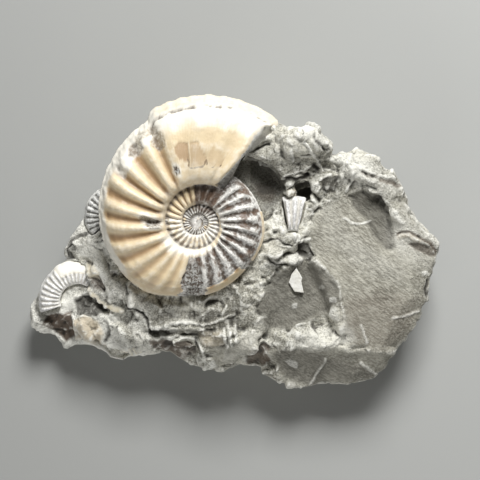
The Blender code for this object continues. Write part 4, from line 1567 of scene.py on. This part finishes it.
LEDGE_MARKS = (
    Patch("scoop", Tone.DARK, 0.55, -0.9, 1.6, (
        (29.9, 11.5), (33.4, 13), (37.1, 11), (39.6, 7.5), (40.6, 3), (40.9, -1.8), (38.9, -2),
        (35.6, 1.8), (33.9, 5.8), (31.1, 8.5))),
    Line("scoop_line", Tone.PALE, 0.8, 0.25, 0.35, ((28.4, 6), (30.1, 5.2), (31.9, 4.8), (35.1, 5.5))),
    Line("ledge_gap", Tone.BROWN, 0.75, -0.35, 0.5, (
        (41.6, 2.2), (44.1, 2.8), (47.6, 1.2), (49.9, -0.2), (51.6, -2))),
    Line("ledge_flake", Tone.BEIGE, 0.5, 0.2, 0.6, ((42.1, 1.5), (44.6, 1.8), (47.1, 0.5))),
    Patch("ledge_shadow", Tone.BROWN, 0.6, -0.35, 0.8, (
        (44.4, -0.2), (47.6, 0), (51.9, -2.2), (50.9, -3.5), (46.9, -2.2))),
    Patch("edge_spot", Tone.PALE, 1, 0.2, 0.5, ((47.6, -7), (49.4, -6.8), (49.9, -8), (48.4, -8.5))),
    Line("edge_notch", Tone.DARK, 0.8, -0.5, 0.6, ((49.6, -9.5), (49.1, -11.8), (49.9, -14.2))),
    Line("low_line", Tone.PALE, 0.8, 0.25, 0.35, ((40.6, -18.8), (42.6, -18.5), (45.1, -18), (47.4, -17))),
    Line("scratch", Tone.PALE, 0.7, 0.2, 0.35, ((32.6, -20.5), (33.4, -22.8), (34.4, -25))),
)
WIDE_TONES = (
    # Wide tones paint light and shade: the slab's right side and the upper strip, which face the lamp, are
    # painted lighter; the slab's low facet, which faces away, is painted darker.
    Patch("slab_right_light", Tone.PALE, 0.34, 0, 5, (
        (39.6, 9.4), (44.6, 5.6), (51.0, -1.4), (50.4, -6.0), (44.0, -5.6), (39.4, 0.4))),
    Patch("strip_light", Tone.PALE, 0.5, 0, 3, (
        (24.4, 21.4), (31.0, 21.8), (37.6, 19.0), (42.4, 12.4), (38.0, 10.4), (33.0, 13.6), (27.4, 14.8))),
    Patch("slab_middle_light", Tone.PALE, 0.12, 0, 3, (
        (21.4, 10.8), (25.4, 11.8), (28.6, 4.5), (35.4, -1.8), (42.4, -4.8), (47.4, -4.8), (42.4, -10.5),
        (32.4, -6.8), (23.6, 0.8))),
    Patch("slab_low_dark", Tone.BROWN, 0.28, 0, 4, (
        (27.4, -14.2), (37.4, -11.8), (47.4, -14.2), (45.4, -21.8), (40.4, -27.2), (32.4, -26.8),
        (28.6, -21.8))),
)
NEAR_SIDE_MARKS = (
    # front_light paints fill light on the front facets, which face away from the lamp; front_face paints
    # their shade.
    Patch("front_light", Tone.PALE, 0.3, 0.1, 1.8, (
        (7.9, -23.8), (12.9, -25.2), (18.1, -23.2), (20.4, -20.8), (30.4, -21.2), (31.9, -24.2),
        (24.9, -26.8), (17.4, -26.8), (9.4, -26))),
    Patch("front_face", Tone.DARK, 0.35, 0, 1.5, (
        (10.4, -27.2), (18.9, -26.8), (24.9, -29.2), (31.4, -30.8), (36.9, -32.8), (35.4, -35.2),
        (21.4, -36.2), (14.9, -34.8))),
    Line("front_ridge", Tone.PALE, 0.35, 0.5, 0.5, ((24.1, -29.2), (22.4, -32.2), (20.4, -35.8))),
    Line("front_line", Tone.PALE, 0.85, 0.3, 0.5, ((32.9, -30.2), (35.4, -32), (37.9, -34))),
    Patch("front_knot", Tone.PALE, 1, 0.4, 0.4, (
        (13.6, -29.5), (15.1, -29), (16.9, -30.2), (16.9, -31.8), (15.6, -31.2))),
    Patch("recess_brown", Tone.BROWN, 0.75, -0.4, 0.9, (
        (4.9, -26.5), (7.9, -25.5), (9.6, -26.2), (9.9, -30.2), (7.9, -31.2), (4.4, -31.2))),
)
HOLLOW_MARKS = (
    Patch("hollow_dark", Tone.DARK, 0.52, 0, 2.2, (
        (16.4, -4.8), (20.9, -4.8), (24.1, -7.5), (27.1, -10.5), (27.4, -14.2), (25.4, -17.2),
        (20.1, -19.5), (13.4, -22), (8.9, -21), (6.4, -16.5), (7.9, -13.8), (10.4, -9.5), (13.9, -6.2))),
    Line("hollow_edge", Tone.PALE, 0.25, 0.15, 0.5, (
        (21.6, 11.0), (18.2, 2.4), (17.6, -0.2), (20.4, -4.8), (23.4, -7.6), (27.2, -11.2))),
    Patch("hollow_fan", Tone.DARK, 0.75, -0.7, 0.7, (
        (16.6, -0.2), (19.4, 0), (20.6, -3.2), (19.6, -4.8), (17.4, -3.2))),
    Patch("bit_a", Tone.PALE, 1, 0.3, 0.3, ((15.4, -15.2), (16.6, -15.2), (16.6, -16.5), (15.6, -16.5))),
    Patch("bit_b", Tone.PALE, 1, 0.3, 0.3, ((16.1, -22.5), (17.6, -22.8), (17.4, -24.2), (16.4, -24))),
    Patch("bit_c", Tone.PALE, 1, 0.3, 0.3, ((24.9, -13.5), (26.4, -13.5), (26.4, -14.8), (25.1, -14.8))),
    Patch("bit_d", Tone.PALE, 1, 0.3, 0.3, ((22.4, -10.8), (23.4, -10.5), (23.4, -11.5), (22.6, -11.5))),
    Patch("lump_a", Tone.PALE, 0.9, 0.6, 0.5, ((11.9, 4.2), (13.9, 4.2), (14.4, 2.8), (12.6, 2))),
    Patch("lump_b", Tone.PALE, 0.9, 0.6, 0.5, ((15.1, 2.8), (16.9, 2.5), (17.1, 1), (15.4, 0.8))),
    Patch("lump_c", Tone.PALE, 0.55, 0.5, 0.6, (
        (14.6, -3), (17.1, -2.5), (18.1, -4.8), (16.4, -6), (14.6, -5.2))),
    Patch("side_light", Tone.PALE, 0.4, 0, 1, (
        (8.9, 9.8), (11.6, 10.8), (13.4, 5.2), (11.4, 1.8), (9.4, 2.8))),
    Line("side_crack", Tone.DARK, 0.8, -0.5, 0.4, ((7.9, 0), (9.9, 0.8), (11.6, 1), (15.1, -0.5))),
    Line("side_crack_b", Tone.DARK, 0.7, -0.5, 0.4, ((9.4, -3.8), (11.4, -5.2), (14.4, -5.8))),
    Line("hook_light", Tone.PALE, 0.9, 0.4, 0.4, ((17.4, 0.5), (18.6, 1), (19.9, 1))),
    Line("hook_arc", Tone.PALE, 0.9, 0.3, 0.35, ((19.1, 8.8), (20.4, 8.2), (20.6, 7.2))),
    Line("chunk_edge_light", Tone.PALE, 0.45, 0.2, 0.9, ((7.9, -6.2), (9.9, -4.8), (12.9, -4.8))),
)
LEFT_BANK_MARKS = (
    Patch("dome_end", Tone.SHELL, 0.85, 0.6, 0.8, (
        (-36.9, -5.4), (-34.6, -5.6), (-33.2, -7.4), (-33.6, -9.4), (-35.6, -8.6), (-37.2, -7.4))),
    Line("crescent", Tone.PALE, 1, 0.35, 0.4, ((-39.1, 0), (-38.1, -0.8), (-36.9, -0.2), (-36.6, 0.8))),
    Line("left_boulder_gap", Tone.DARK, 0.7, -0.5, 0.5, (
        (-42.1, -2.2), (-41.1, -0.8), (-38.1, 1.8), (-35.6, 2.8))),
    Patch("left_dark", Tone.DARK, 0.7, -0.3, 0.8, (
        (-43.1, -2.2), (-41.1, -1.8), (-40.1, -3.8), (-41.6, -5.2), (-43.4, -4.8))),
    Patch("pocket_brown", Tone.BROWN, 0.7, -1.1, 0.8, (
        (-36.4, -8.2), (-33.6, -8.2), (-31.6, -11.8), (-32.6, -13.2), (-34.6, -11.8))),
    Patch("hollow_below_line", Tone.DARK, 0.75, -0.7, 0.8, (
        (-39.6, -14.2), (-36.1, -13.2), (-33.4, -15.8), (-31.6, -17.2), (-34.6, -18.8), (-39.1, -18.2))),
    Line("sliver", Tone.SHELL, 1, 0.8, 0.45, (
        (-37.3, -7.6), (-36.9, -8.6), (-35.8, -11.2), (-33.5, -14.7), (-31.2, -15.9))),
    Line("sliver_end", Tone.SHELL, 1, 0.7, 0.7, ((-31.6, -15.8), (-29.6, -16.7), (-27.4, -17.1))),
)
WHITE_RIBS = tuple(
    Line("white_rib", Tone.SHELL, 0.9, 0.5, 0.4, path) for path in (
        ((-27.9, -27.2), (-27.4, -28.6)),
        ((-26.8, -26.8), (-26.3, -28.6)),
        ((-25.6, -26.6), (-25.1, -28.5)),
        ((-24.4, -26.5), (-23.9, -28.3)),
        ((-23.3, -26.6), (-22.9, -28.0))))
LEFT_TIP_MARKS = (
    Line("branch_line", Tone.PALE, 0.9, 0.4, 0.35, ((-35.4, -11.5), (-37.1, -12.8), (-38.9, -14))),
    Line("light_strips", Tone.PALE, 0.7, 0.3, 0.35, (
        (-36.9, -18), (-33.6, -19), (-31.1, -18.8), (-29.6, -18))),
    Patch("brown_hollow", Tone.BROWN, 0.95, -0.4, 0.8, (
        (-46.1, -18), (-40.6, -17.5), (-40.1, -20.2), (-39.6, -23.8), (-42.4, -25.5), (-45.6, -22.5),
        (-47.9, -19.8))),
    Line("edge_rim", Tone.PALE, 0.95, 0.3, 0.45, (
        (-51.4, -18.2), (-48.9, -20.5), (-46.4, -22.2), (-44.1, -25.2), (-42.4, -26.2))),
    Patch("tip_spot", Tone.PALE, 1, 0.4, 0.4, (
        (-48.6, -15.8), (-47.1, -15.5), (-46.9, -17.2), (-48.4, -17.5))),
    Patch("lump_beige", Tone.BEIGE, 0.85, 0.5, 1, (
        (-40.1, -20), (-37.4, -18.5), (-33.4, -20), (-31.9, -23), (-33.4, -25.8), (-33.1, -27.5),
        (-35.9, -25.8), (-39.4, -24.5))),
    Line("lump_gap", Tone.DARK, 0.6, -0.5, 0.6, ((-31.6, -19.8), (-30.6, -22.2), (-31.6, -24.8))),
    Line("marks_light", Tone.PALE, 0.6, 0.3, 0.35, ((-30.1, -24.2), (-29.1, -23.2), (-28.6, -22))),
    Line("long_crack", Tone.DARK, 0.9, -0.7, 0.5, (
        (-25.9, -15.5), (-23.6, -16.5), (-22.1, -17.8), (-20.6, -20.2), (-20.1, -22.8))),
    # flank_light paints fill light on this face, which is turned from the lamp.
    Patch("flank_light", Tone.PALE, 0.3, 0.2, 1.5, (
        (-31.6, -6.8), (-28.1, -10.8), (-24.6, -14.2), (-26.6, -15), (-30.1, -12.2), (-32.1, -9.2))),
)
FRONT_STEP_MARKS = (
    Line("step_white", Tone.PALE, 0.95, 0.5, 0.8, (
        (-20.4, -21.2), (-18.6, -21), (-16.9, -20.8), (-14.6, -20.2), (-11.6, -19.8))),
    Line("step_white_b", Tone.PALE, 0.65, 0.4, 0.5, (
        (-11.6, -19.8), (-8.1, -20.5), (-5.1, -20.5), (-2.1, -19.2), (1.1, -18))),
    Patch("step_under", Tone.DARK, 0.5, -0.6, 0.8, (
        (-20.1, -22.2), (-13.6, -21.8), (-7.6, -22.2), (-4.1, -21.8), (-4.6, -23.2), (-8.6, -23.8),
        (-13.6, -23.2), (-19.6, -23.8))),
    Line("second_step", Tone.PALE, 0.75, 0.4, 0.5, (
        (-17.6, -23.5), (-16.1, -24), (-12.9, -23.8), (-10.1, -24.5), (-8.1, -25.5), (-6.9, -26.8))),
    Patch("front_brown", Tone.BROWN, 0.75, -0.4, 0.9, (
        (-20.1, -24.2), (-14.6, -24.8), (-10.1, -25.8), (-8.6, -27.8), (-12.6, -29.8), (-16.1, -27.2),
        (-19.6, -26.2))),
    Patch("pitted_patch", Tone.BEIGE, 0.45, 0.2, 0.8, (
        (-7.9, -22.5), (-2.1, -22.2), (-1.6, -25.2), (-4.6, -26), (-7.6, -25))),
    Line("rib_a", Tone.PALE, 1, 0.55, 0.5, ((-1.6, -21.5), (-1.4, -23.8), (-0.9, -25.5))),
    Line("rib_b", Tone.PALE, 1, 0.55, 0.5, ((-0.4, -21), (-0.1, -23.2), (0.4, -25.2))),
    Line("rib_c", Tone.PALE, 0.9, 0.55, 0.5, ((1.1, -20.8), (1.4, -22.8), (1.9, -24.5))),
    Patch("chunk_spot", Tone.PALE, 0.95, 0.3, 0.4, (
        (-5.9, -29.8), (-4.4, -29.5), (-3.6, -31), (-4.9, -31.8))),
    Patch("chunk_dark_top", Tone.DARK, 0.3, -0.2, 1.2, (
        (-17.6, -17.2), (-10.1, -16.8), (-4.1, -17.2), (-2.6, -18.8), (-7.6, -19.8), (-13.6, -19.2),
        (-18.1, -19.8))),
    Patch("facet_light", Tone.PALE, 0.25, 0.2, 1.2, (
        (-1.1, -25.8), (4.9, -21.8), (7.9, -22.8), (5.4, -25.5), (1.4, -29.2), (-2.1, -29.8))),
    Line("facet_edge", Tone.PALE, 0.5, 0.4, 0.5, ((-7.9, -26), (-6.4, -28.8), (-5.6, -32))),
    Line("low_chip", Tone.PALE, 0.6, 0.3, 0.4, ((-24.6, -22), (-23.1, -22.2), (-21.9, -23.5))),
)
MARKS = (
    ARCH_MARKS + FAR_EDGE_MARKS + LEDGE_MARKS + WIDE_TONES + NEAR_SIDE_MARKS + HOLLOW_MARKS
    + LEFT_BANK_MARKS + WHITE_RIBS + LEFT_TIP_MARKS + FRONT_STEP_MARKS)

# Faces that broke clean. The tone isn't used, and the strength is how calm the face is.
CLEAN_FACES = (
    Patch("slab", Tone.PALE, 0.95, 0, 2.5, (
        (18.9, 0.8), (21.4, 7.2), (28.4, 11.8), (30.4, 13.2), (35.4, 11.8), (41.9, 4.2), (51.4, -3.2),
        (50.4, -14.2), (46.4, -22.2), (42.4, -27.2), (30.4, -26.2), (28.4, -16.8), (27.4, -10),
        (22.9, -5.2))),
    Patch("slab_front", Tone.PALE, 0.9, 0, 2, (
        (9.9, -27.2), (18.4, -26.8), (30.4, -27.2), (41.9, -28.2), (38.4, -34.8), (17.4, -36.2),
        (12.4, -32.8))),
    Patch("hollow", Tone.PALE, 0.8, 0, 2, (
        (16.4, -4.8), (20.9, -4.8), (24.1, -7.5), (26.9, -10.5), (27.1, -14.2), (24.9, -17.2),
        (20.1, -19.5), (13.4, -21.8), (8.9, -20.8), (6.4, -16.5), (7.9, -13.8), (10.4, -9.5),
        (13.9, -6.2))),
    Patch("middle_facets", Tone.PALE, 0.7, 0, 1.5, (
        (-5.6, -26.2), (-1.1, -25.8), (4.9, -22.2), (7.9, -23.2), (4.9, -26.8), (0.4, -30.2),
        (-3.6, -31.2))),
    Patch("left_bank", Tone.PALE, 0.6, 0, 1.5, (
        (-42.1, -3.8), (-36.6, 0.8), (-31.6, -4.8), (-30.6, -11.8), (-33.6, -7.2), (-37.6, -3.8))),
    Patch("upper_strip", Tone.PALE, 0.5, 0, 1.5, (
        (31.4, 20.8), (36.4, 20.2), (41.9, 13.2), (47.4, 4.5), (51.4, -0.8), (48.4, 0.2), (41.9, 7),
        (36.4, 13.2))),
)

# Facets of the broken rock, from coarse to fine.
COARSE_CHIPS = Chips(size=9.0, slope=0.17, step=0.25, soft=0.45, seed=SEED)
SMALL_CHIPS = Chips(size=3.4, slope=0.26, step=0.06, soft=0.16, seed=SEED + 1)
FINE_CHIPS = Chips(size=1.7, slope=0.20, step=0.03, soft=0.08, seed=SEED + 2)


@dataclass
class MatrixRock:
    """The block of grey marl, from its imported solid.

    Near the ground and near the fossils its relief fades, between the two distances that
    each calm pair gives. The mould is the smooth hollow below the mouth: x, y and radius.
    """

    node: str = "matrix_rock"
    voxel: float = 0.65
    fine_above: float = 9.0
    fine_facing: float = 0.6
    mould: tuple[float, float, float] = (6.5, 14.5, 7.6)
    edge_wobble: float = 0.35
    stroke_ring: Stretch = (19.0, 28.0, 2.0)
    stroke_height: float = 0.30
    calm_below: tuple[float, float] = (0.1, 1.2)
    calm_near_fossils: tuple[float, float] = (0.35, 1.3)
    fossil_search: float = 2.5

    def surface(self, solid: Piece) -> Piece:
        """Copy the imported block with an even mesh, twice as fine on its top.

        Args:
            solid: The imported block.

        Returns:
            The copy.
        """
        piece = even_copy(solid, "marl_block", self.voxel)
        shape = bmesh.new()
        shape.from_mesh(piece.data)
        top = [
            f for f in shape.faces
            if f.normal.z > self.fine_facing and f.calc_center_median().z > self.fine_above * MM]
        edges = list(dict.fromkeys(e for f in top for e in f.edges))
        bmesh.ops.subdivide_edges(shape, edges=edges, cuts=1, use_grid_fill=True)
        shape.to_mesh(piece.data)
        shape.free()
        return piece

    def regions(self, points: np.ndarray, facing: np.ndarray) -> dict[str, np.ndarray]:
        """How far each vertex belongs to the smooth faces, and what the marks do to it.

        Args:
            points: Vertices in millimetres.
            facing: How far each looks up, from -1 to 1.

        Returns:
            Name of each part or tone to a number from 0 to 1 for each vertex, and the
            marks' lift in millimetres.
        """
        x, y, z = points.T
        ragged = 1.2 * grain(points, 4.0, 41.0)
        clean = np.zeros(len(points))
        for face in CLEAN_FACES:
            calm = face.strength * face.reach(points[:, :2]) * rise(0.1, 0.5, facing)
            clean = np.maximum(clean, calm)
        mould_x, mould_y, mould_reach = self.mould
        mould = 1.0 - rise(0.8, 1.05, np.hypot(x - mould_x, y - mould_y) / mould_reach + 0.06 * ragged)
        mould = mould * (1.0 - rise(24.5, 26.5, z))
        parts = {"clean": clean, "mould": mould, "lift": np.zeros(len(points))}
        parts |= {tone.value: np.zeros(len(points)) for tone in Tone}
        parts["pale"] = 0.95 * (1.0 - rise(-32.0, -8.0, x)) * rise(-1.0, 0.3, ragged)
        flat = points[:, :2] + self.edge_wobble * np.stack(
            [grain(points, 1.7, 42.0), grain(points, 1.7, 45.0)], axis=1)
        up = rise(-0.1, 0.35, facing) * rise(5.0, 7.0, z)
        for mark in MARKS:
            corners = np.array(mark.path)
            low, high = corners.min(0) - 2.0 * mark.width, corners.max(0) + 2.0 * mark.width
            near = np.flatnonzero(((flat > low) & (flat < high)).all(1) & (up > 0.0))
            reach = mark.reach(flat[near]) * up[near]
            tone = parts[mark.tone.value]
            tone[near] = np.maximum(tone[near], mark.strength * reach)
            parts["lift"][near] += mark.lift * reach
        return parts

    def break_surface(self, points: np.ndarray, facing: np.ndarray,
                      parts: dict[str, np.ndarray]) -> np.ndarray:
        """Relief of the broken rock.

        Args:
            points: Vertices in millimetres.
            facing: How far each looks up, from -1 to 1.
            parts: What regions gave for each vertex.

        Returns:
            Height in millimetres.
        """
        rough = 1.0 - np.clip(parts["clean"] + parts["mould"] * 0.85, 0.0, 0.95)
        x, y, z = points.T
        bent = points + 0.9 * np.stack([grain(points, 3.5, seed) for seed in (44.0, 46.0, 48.0)], axis=1)
        coarse, coarse_border = COARSE_CHIPS.relief(bent)
        small, _ = SMALL_CHIPS.relief(bent)
        fine, _ = FINE_CHIPS.relief(bent)
        cracked = rise(0.1, 0.4, grain(points, 9.0, 49.0))
        sides = 0.45 + 0.55 * rise(-0.1, 0.4, facing)
        relief = rough * sides * (coarse + 0.8 * small + 0.6 * fine - 0.20 * coarse_border * cracked)
        relief += (0.06 * rough + 0.010) * layered_grain(points, 1.1, 3, 43.0)
        slanted = np.stack([0.8 * x - 0.6 * y, 2.6 * (0.6 * x + 0.8 * y), z], axis=1)
        relief += 0.06 * parts["clean"] * layered_grain(slanted, 1.6, 3, 47.0)
        off_x, off_y = x - SHELL_MIDDLE[0], y - SHELL_MIDDLE[1]
        away = np.hypot(off_x, off_y)
        turn = np.degrees(np.arctan2(off_y, off_x))
        ring = band(*self.stroke_ring, away) * (1.0 - rise(12.0, 16.0, y)) * rough
        strokes = np.stack([turn * 0.7, away * 0.16, np.zeros_like(away)], axis=1)
        relief += self.stroke_height * ring * grain(strokes, 1.0, 53.0)
        return relief + parts["lift"]

    def build(self, solid: Piece, fossils: list[Piece], groups: SharedGroups, finish: RockFinish) -> Piece:
        """Make the block and its finish.

        Args:
            solid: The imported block.
            fossils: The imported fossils, which the relief keeps clear of.
            groups: Shared shader groups.
            finish: The rock's finish.

        Returns:
            The dressed block.
        """
        piece = self.surface(solid)
        mesh = piece.data
        points = mesh_points(mesh)
        outward = mesh_normals(mesh)
        parts = self.regions(points, outward[:, 2])
        relief = self.break_surface(points, outward[:, 2], parts)
        clearance = self.distance_to(points, fossils)
        relief = relief * rise(*self.calm_near_fossils, clearance)
        relief = relief * rise(*self.calm_below, points[:, 2])
        moved = points + outward * relief[:, None]
        moved[:, 2] = np.maximum(moved[:, 2], 0.0)
        move_points(mesh, moved)

        # hollow marks recesses, which the finish darkens with painted shade; edge marks edges, which it
        # bruises pale.
        tight, wide = hollowness(mesh, 3), hollowness(mesh, 14)
        edge = np.clip(rise(0.05, 0.16, -tight) * 0.6 + rise(0.25, 0.8, -wide) * 0.35, 0.0, 1.0)
        hollow = np.clip(rise(0.09, 0.48, wide) * 0.7 + rise(0.05, 0.16, tight) * 0.35, 0.0, 1.0)
        # The mould under the overhanging chunk is painted darker: painted shade.
        parts["painted_shade"] = np.maximum(parts["painted_shade"], parts["mould"] * 0.55)
        set_attribute(mesh, "edge", edge * (1.0 - 0.6 * parts["painted_shade"]))
        set_attribute(mesh, "hollow", hollow)
        for name in ("clean", *(tone.value for tone in Tone)):
            set_attribute(mesh, name, parts[name])
        hand_over(piece, finish.make(groups), self.node)
        return piece

    def distance_to(self, points: np.ndarray, fossils: list[Piece]) -> np.ndarray:
        """Distance of points from the nearest fossil.

        Args:
            points: Places in millimetres.
            fossils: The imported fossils.

        Returns:
            The distance of each in millimetres, or a large number beyond the search.
        """
        closest = np.full(len(points), 99.0)
        for fossil in fossils:
            tree = BVHTree.FromPolygons(
                [v.co / MM for v in fossil.data.vertices],
                [tuple(p.vertices) for p in fossil.data.polygons])
            for k, place in enumerate(points.tolist()):
                found = tree.find_nearest(place, self.fossil_search)
                if found[3] is not None and found[3] < closest[k]:
                    closest[k] = found[3]
        return closest


@dataclass
class CalciteFlake:
    """The white flake in the dark hollow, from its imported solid."""

    node: str = "calcite_flake"
    voxel: float = 0.14
    wear: float = 0.12

    def build(self, solid: Piece, groups: SharedGroups, finish: CalciteFinish) -> Piece:
        """Make the flake, rounded, slightly rough and white.

        Args:
            solid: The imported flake.
            groups: Shared shader groups.
            finish: The flake's finish.

        Returns:
            The dressed flake.
        """
        piece = even_copy(solid, "white_flake", self.voxel)
        points = mesh_points(piece.data)
        relief = self.wear * layered_grain(points, 1.6, 3, 61.0)
        move_points(piece.data, points + mesh_normals(piece.data) * relief[:, None])
        hand_over(piece, finish.make(groups), self.node)
        return piece


# The room


@dataclass(frozen=True)
class Lamp:
    """A square soft light: its place and size in millimetres, and its power in watts."""

    name: str
    place: tuple[float, float, float]
    size: float
    power: float


@dataclass
class Studio:
    """A grey floor with painted shade to its left and painted light to its right, a soft light from the far
    side and the camera above.
    """

    floor_half: float = 900.0
    floor_colour: Colour = (0.395, 0.40, 0.385)
    floor_fade: float = 90.0
    world_colour: Colour = (1.0, 1.0, 0.98)
    world_strength: float = 0.09
    lamps: tuple[Lamp, ...] = (
        Lamp("window", (90.0, 410.0, 440.0), 230.0, 5.05),
        Lamp("fill", (-140.0, -430.0, 150.0), 300.0, 0.85))
    lit_height: float = 15.0
    look_at: tuple[float, float, float] = (2.4, 0.75, 22.0)
    distance: float = 480.0
    view_width: float = 120.0
    sensor: float = 36.0

    def build(self) -> None:
        """Make floor, lights, world and camera."""
        self.floor()
        for lamp in self.lamps:
            self.light(lamp)
        world = bpy.data.worlds.new("studio")
        world.use_nodes = True
        background = world.node_tree.nodes["Background"]
        background.inputs["Color"].default_value = (*self.world_colour, 1.0)
        background.inputs["Strength"].default_value = self.world_strength
        bpy.context.scene.world = world
        bpy.context.scene.view_settings.view_transform = "Standard"
        self.camera()

    def floor(self) -> None:
        """The floor, painted a little darker on the left and lighter on the right as painted shade and
        light; it isn't part of the object.
        """
        half = self.floor_half
        corners = np.array([(-half, -half, 0.0), (half, -half, 0.0), (half, half, 0.0), (-half, half, 0.0)])
        floor = new_piece("studio_floor", corners, [(0, 1, 2, 3)])
        material, build, shader = start_material("grey_paper")
        place = build.node("ShaderNodeTexCoord")
        split = build.node("ShaderNodeSeparateXYZ")
        build.join(place.outputs["Object"], split.inputs[0])
        # Painted shade to the left and painted light to the right, across the floor.
        across = build.ramp(split.outputs["X"], -self.floor_fade * MM, self.floor_fade * MM)
        left, right = (tuple(by * c for c in self.floor_colour) for by in (0.86, 1.1))
        build.join(build.blend(across, left, right), shader.inputs["Base Color"])
        shader.inputs["Roughness"].default_value = 0.9
        floor.data.materials.append(material)

    def light(self, lamp: Lamp) -> None:
        """Hang a lamp that faces the specimen.

        Args:
            lamp: Its place, size and power.
        """
        data = bpy.data.lights.new(lamp.name, "AREA")
        data.size = lamp.size * MM
        data.energy = lamp.power
        hung = bpy.data.objects.new(lamp.name, data)
        hung.location = Vector(lamp.place) * MM
        aim = Vector((0.0, 0.0, self.lit_height)) * MM - hung.location
        hung.rotation_euler = aim.to_track_quat("-Z", "Y").to_euler()
        bpy.context.scene.collection.objects.link(hung)

    def camera(self) -> None:
        """The camera, straight above the specimen."""
        data = bpy.data.cameras.new("camera")
        data.sensor_width = self.sensor
        data.lens = self.sensor * self.distance / self.view_width
        data.clip_start = 0.01
        camera = bpy.data.objects.new("camera", data)
        x, y, z = self.look_at
        camera.location = Vector((x, y, z + self.distance)) * MM
        bpy.context.scene.collection.objects.link(camera)
        bpy.context.scene.camera = camera


def small_whorls() -> list[SmallWhorl]:
    """The three lengths of smaller shells."""
    return [
        SmallWhorl(
            "small_shell", centre=(-38.9, -14.8, 13.6), keel=10.4, seam=4.4, first=162.0,
            last=306.0, keel_growth=1.15, seam_growth=1.1, plump=0.44, lean=3.0,
            crests=tuple(164 + 9.5 * k for k in range(16)), node="small_ammonite",
            slot=Slot.PALE, dome_from=228.0),
        SmallWhorl(
            "young_shell", centre=(-29.4, 6.6, 16.6), keel=8.0, seam=3.0, first=140.0,
            last=252.0, keel_growth=1.3, seam_growth=1.2, plump=0.44, lean=3.0,
            crests=tuple(144 + 13.0 * k for k in range(9)), node="young_ammonite"),
        SmallWhorl(
            "ribbed_fragment", centre=(15.4, -3.0, 24.0), keel=14.8, seam=6.0, first=260.0,
            last=284.0, keel_growth=1.1, seam_growth=1.1, plump=0.24, rib_height=0.11,
            lean=0.0, crests=(255, 264, 273, 282, 291), node="ribbed_shell_fragment",
            sections=120)]


def main() -> None:
    """Build every piece of the specimen and the studio round it."""
    logging.basicConfig(level=logging.INFO, format="%(message)s")
    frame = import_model()
    groups = SharedGroups()
    nodes = frame["nodes"]
    tree = whorl_tree()

    rock_solid = nodes["matrix_rock"]
    fossils = [nodes[name] for name in sorted(nodes) if name != "matrix_rock"]
    rock = MatrixRock().build(rock_solid, fossils, groups, RockFinish())
    log.info("%s: %d faces", rock.name, len(rock.data.polygons))

    big = BigAmmonite(
        "ammonite_shell", centre=(*SHELL_MIDDLE, 26.0), keel=31.9, seam=10.0, first=-775.0,
        last=305.0, crests=RIB_CRESTS, tilt=5.0)
    shell = big.build(tree, groups, ShellFinish("cream_and_silver_shell"))
    log.info("%s: %d faces", shell.name, len(shell.data.polygons))

    chalky = ShellFinish("white_shell", silver=(0.97, 0.96, 0.94), dark=(0.56, 0.54, 0.49))
    grey = ShellFinish("grey_shell", silver=(0.86, 0.86, 0.83), dark=(0.13, 0.125, 0.11))
    for whorl, finish in zip(small_whorls(), (chalky, grey, chalky)):
        made = whorl.build(tree, groups, finish)
        log.info("%s: %d faces", made.name, len(made.data.polygons))

    flake = CalciteFlake().build(nodes["calcite_flake"], groups, CalciteFinish())
    log.info("%s: %d faces", flake.name, len(flake.data.polygons))

    Studio().build()


if __name__ == "__main__":
    main()
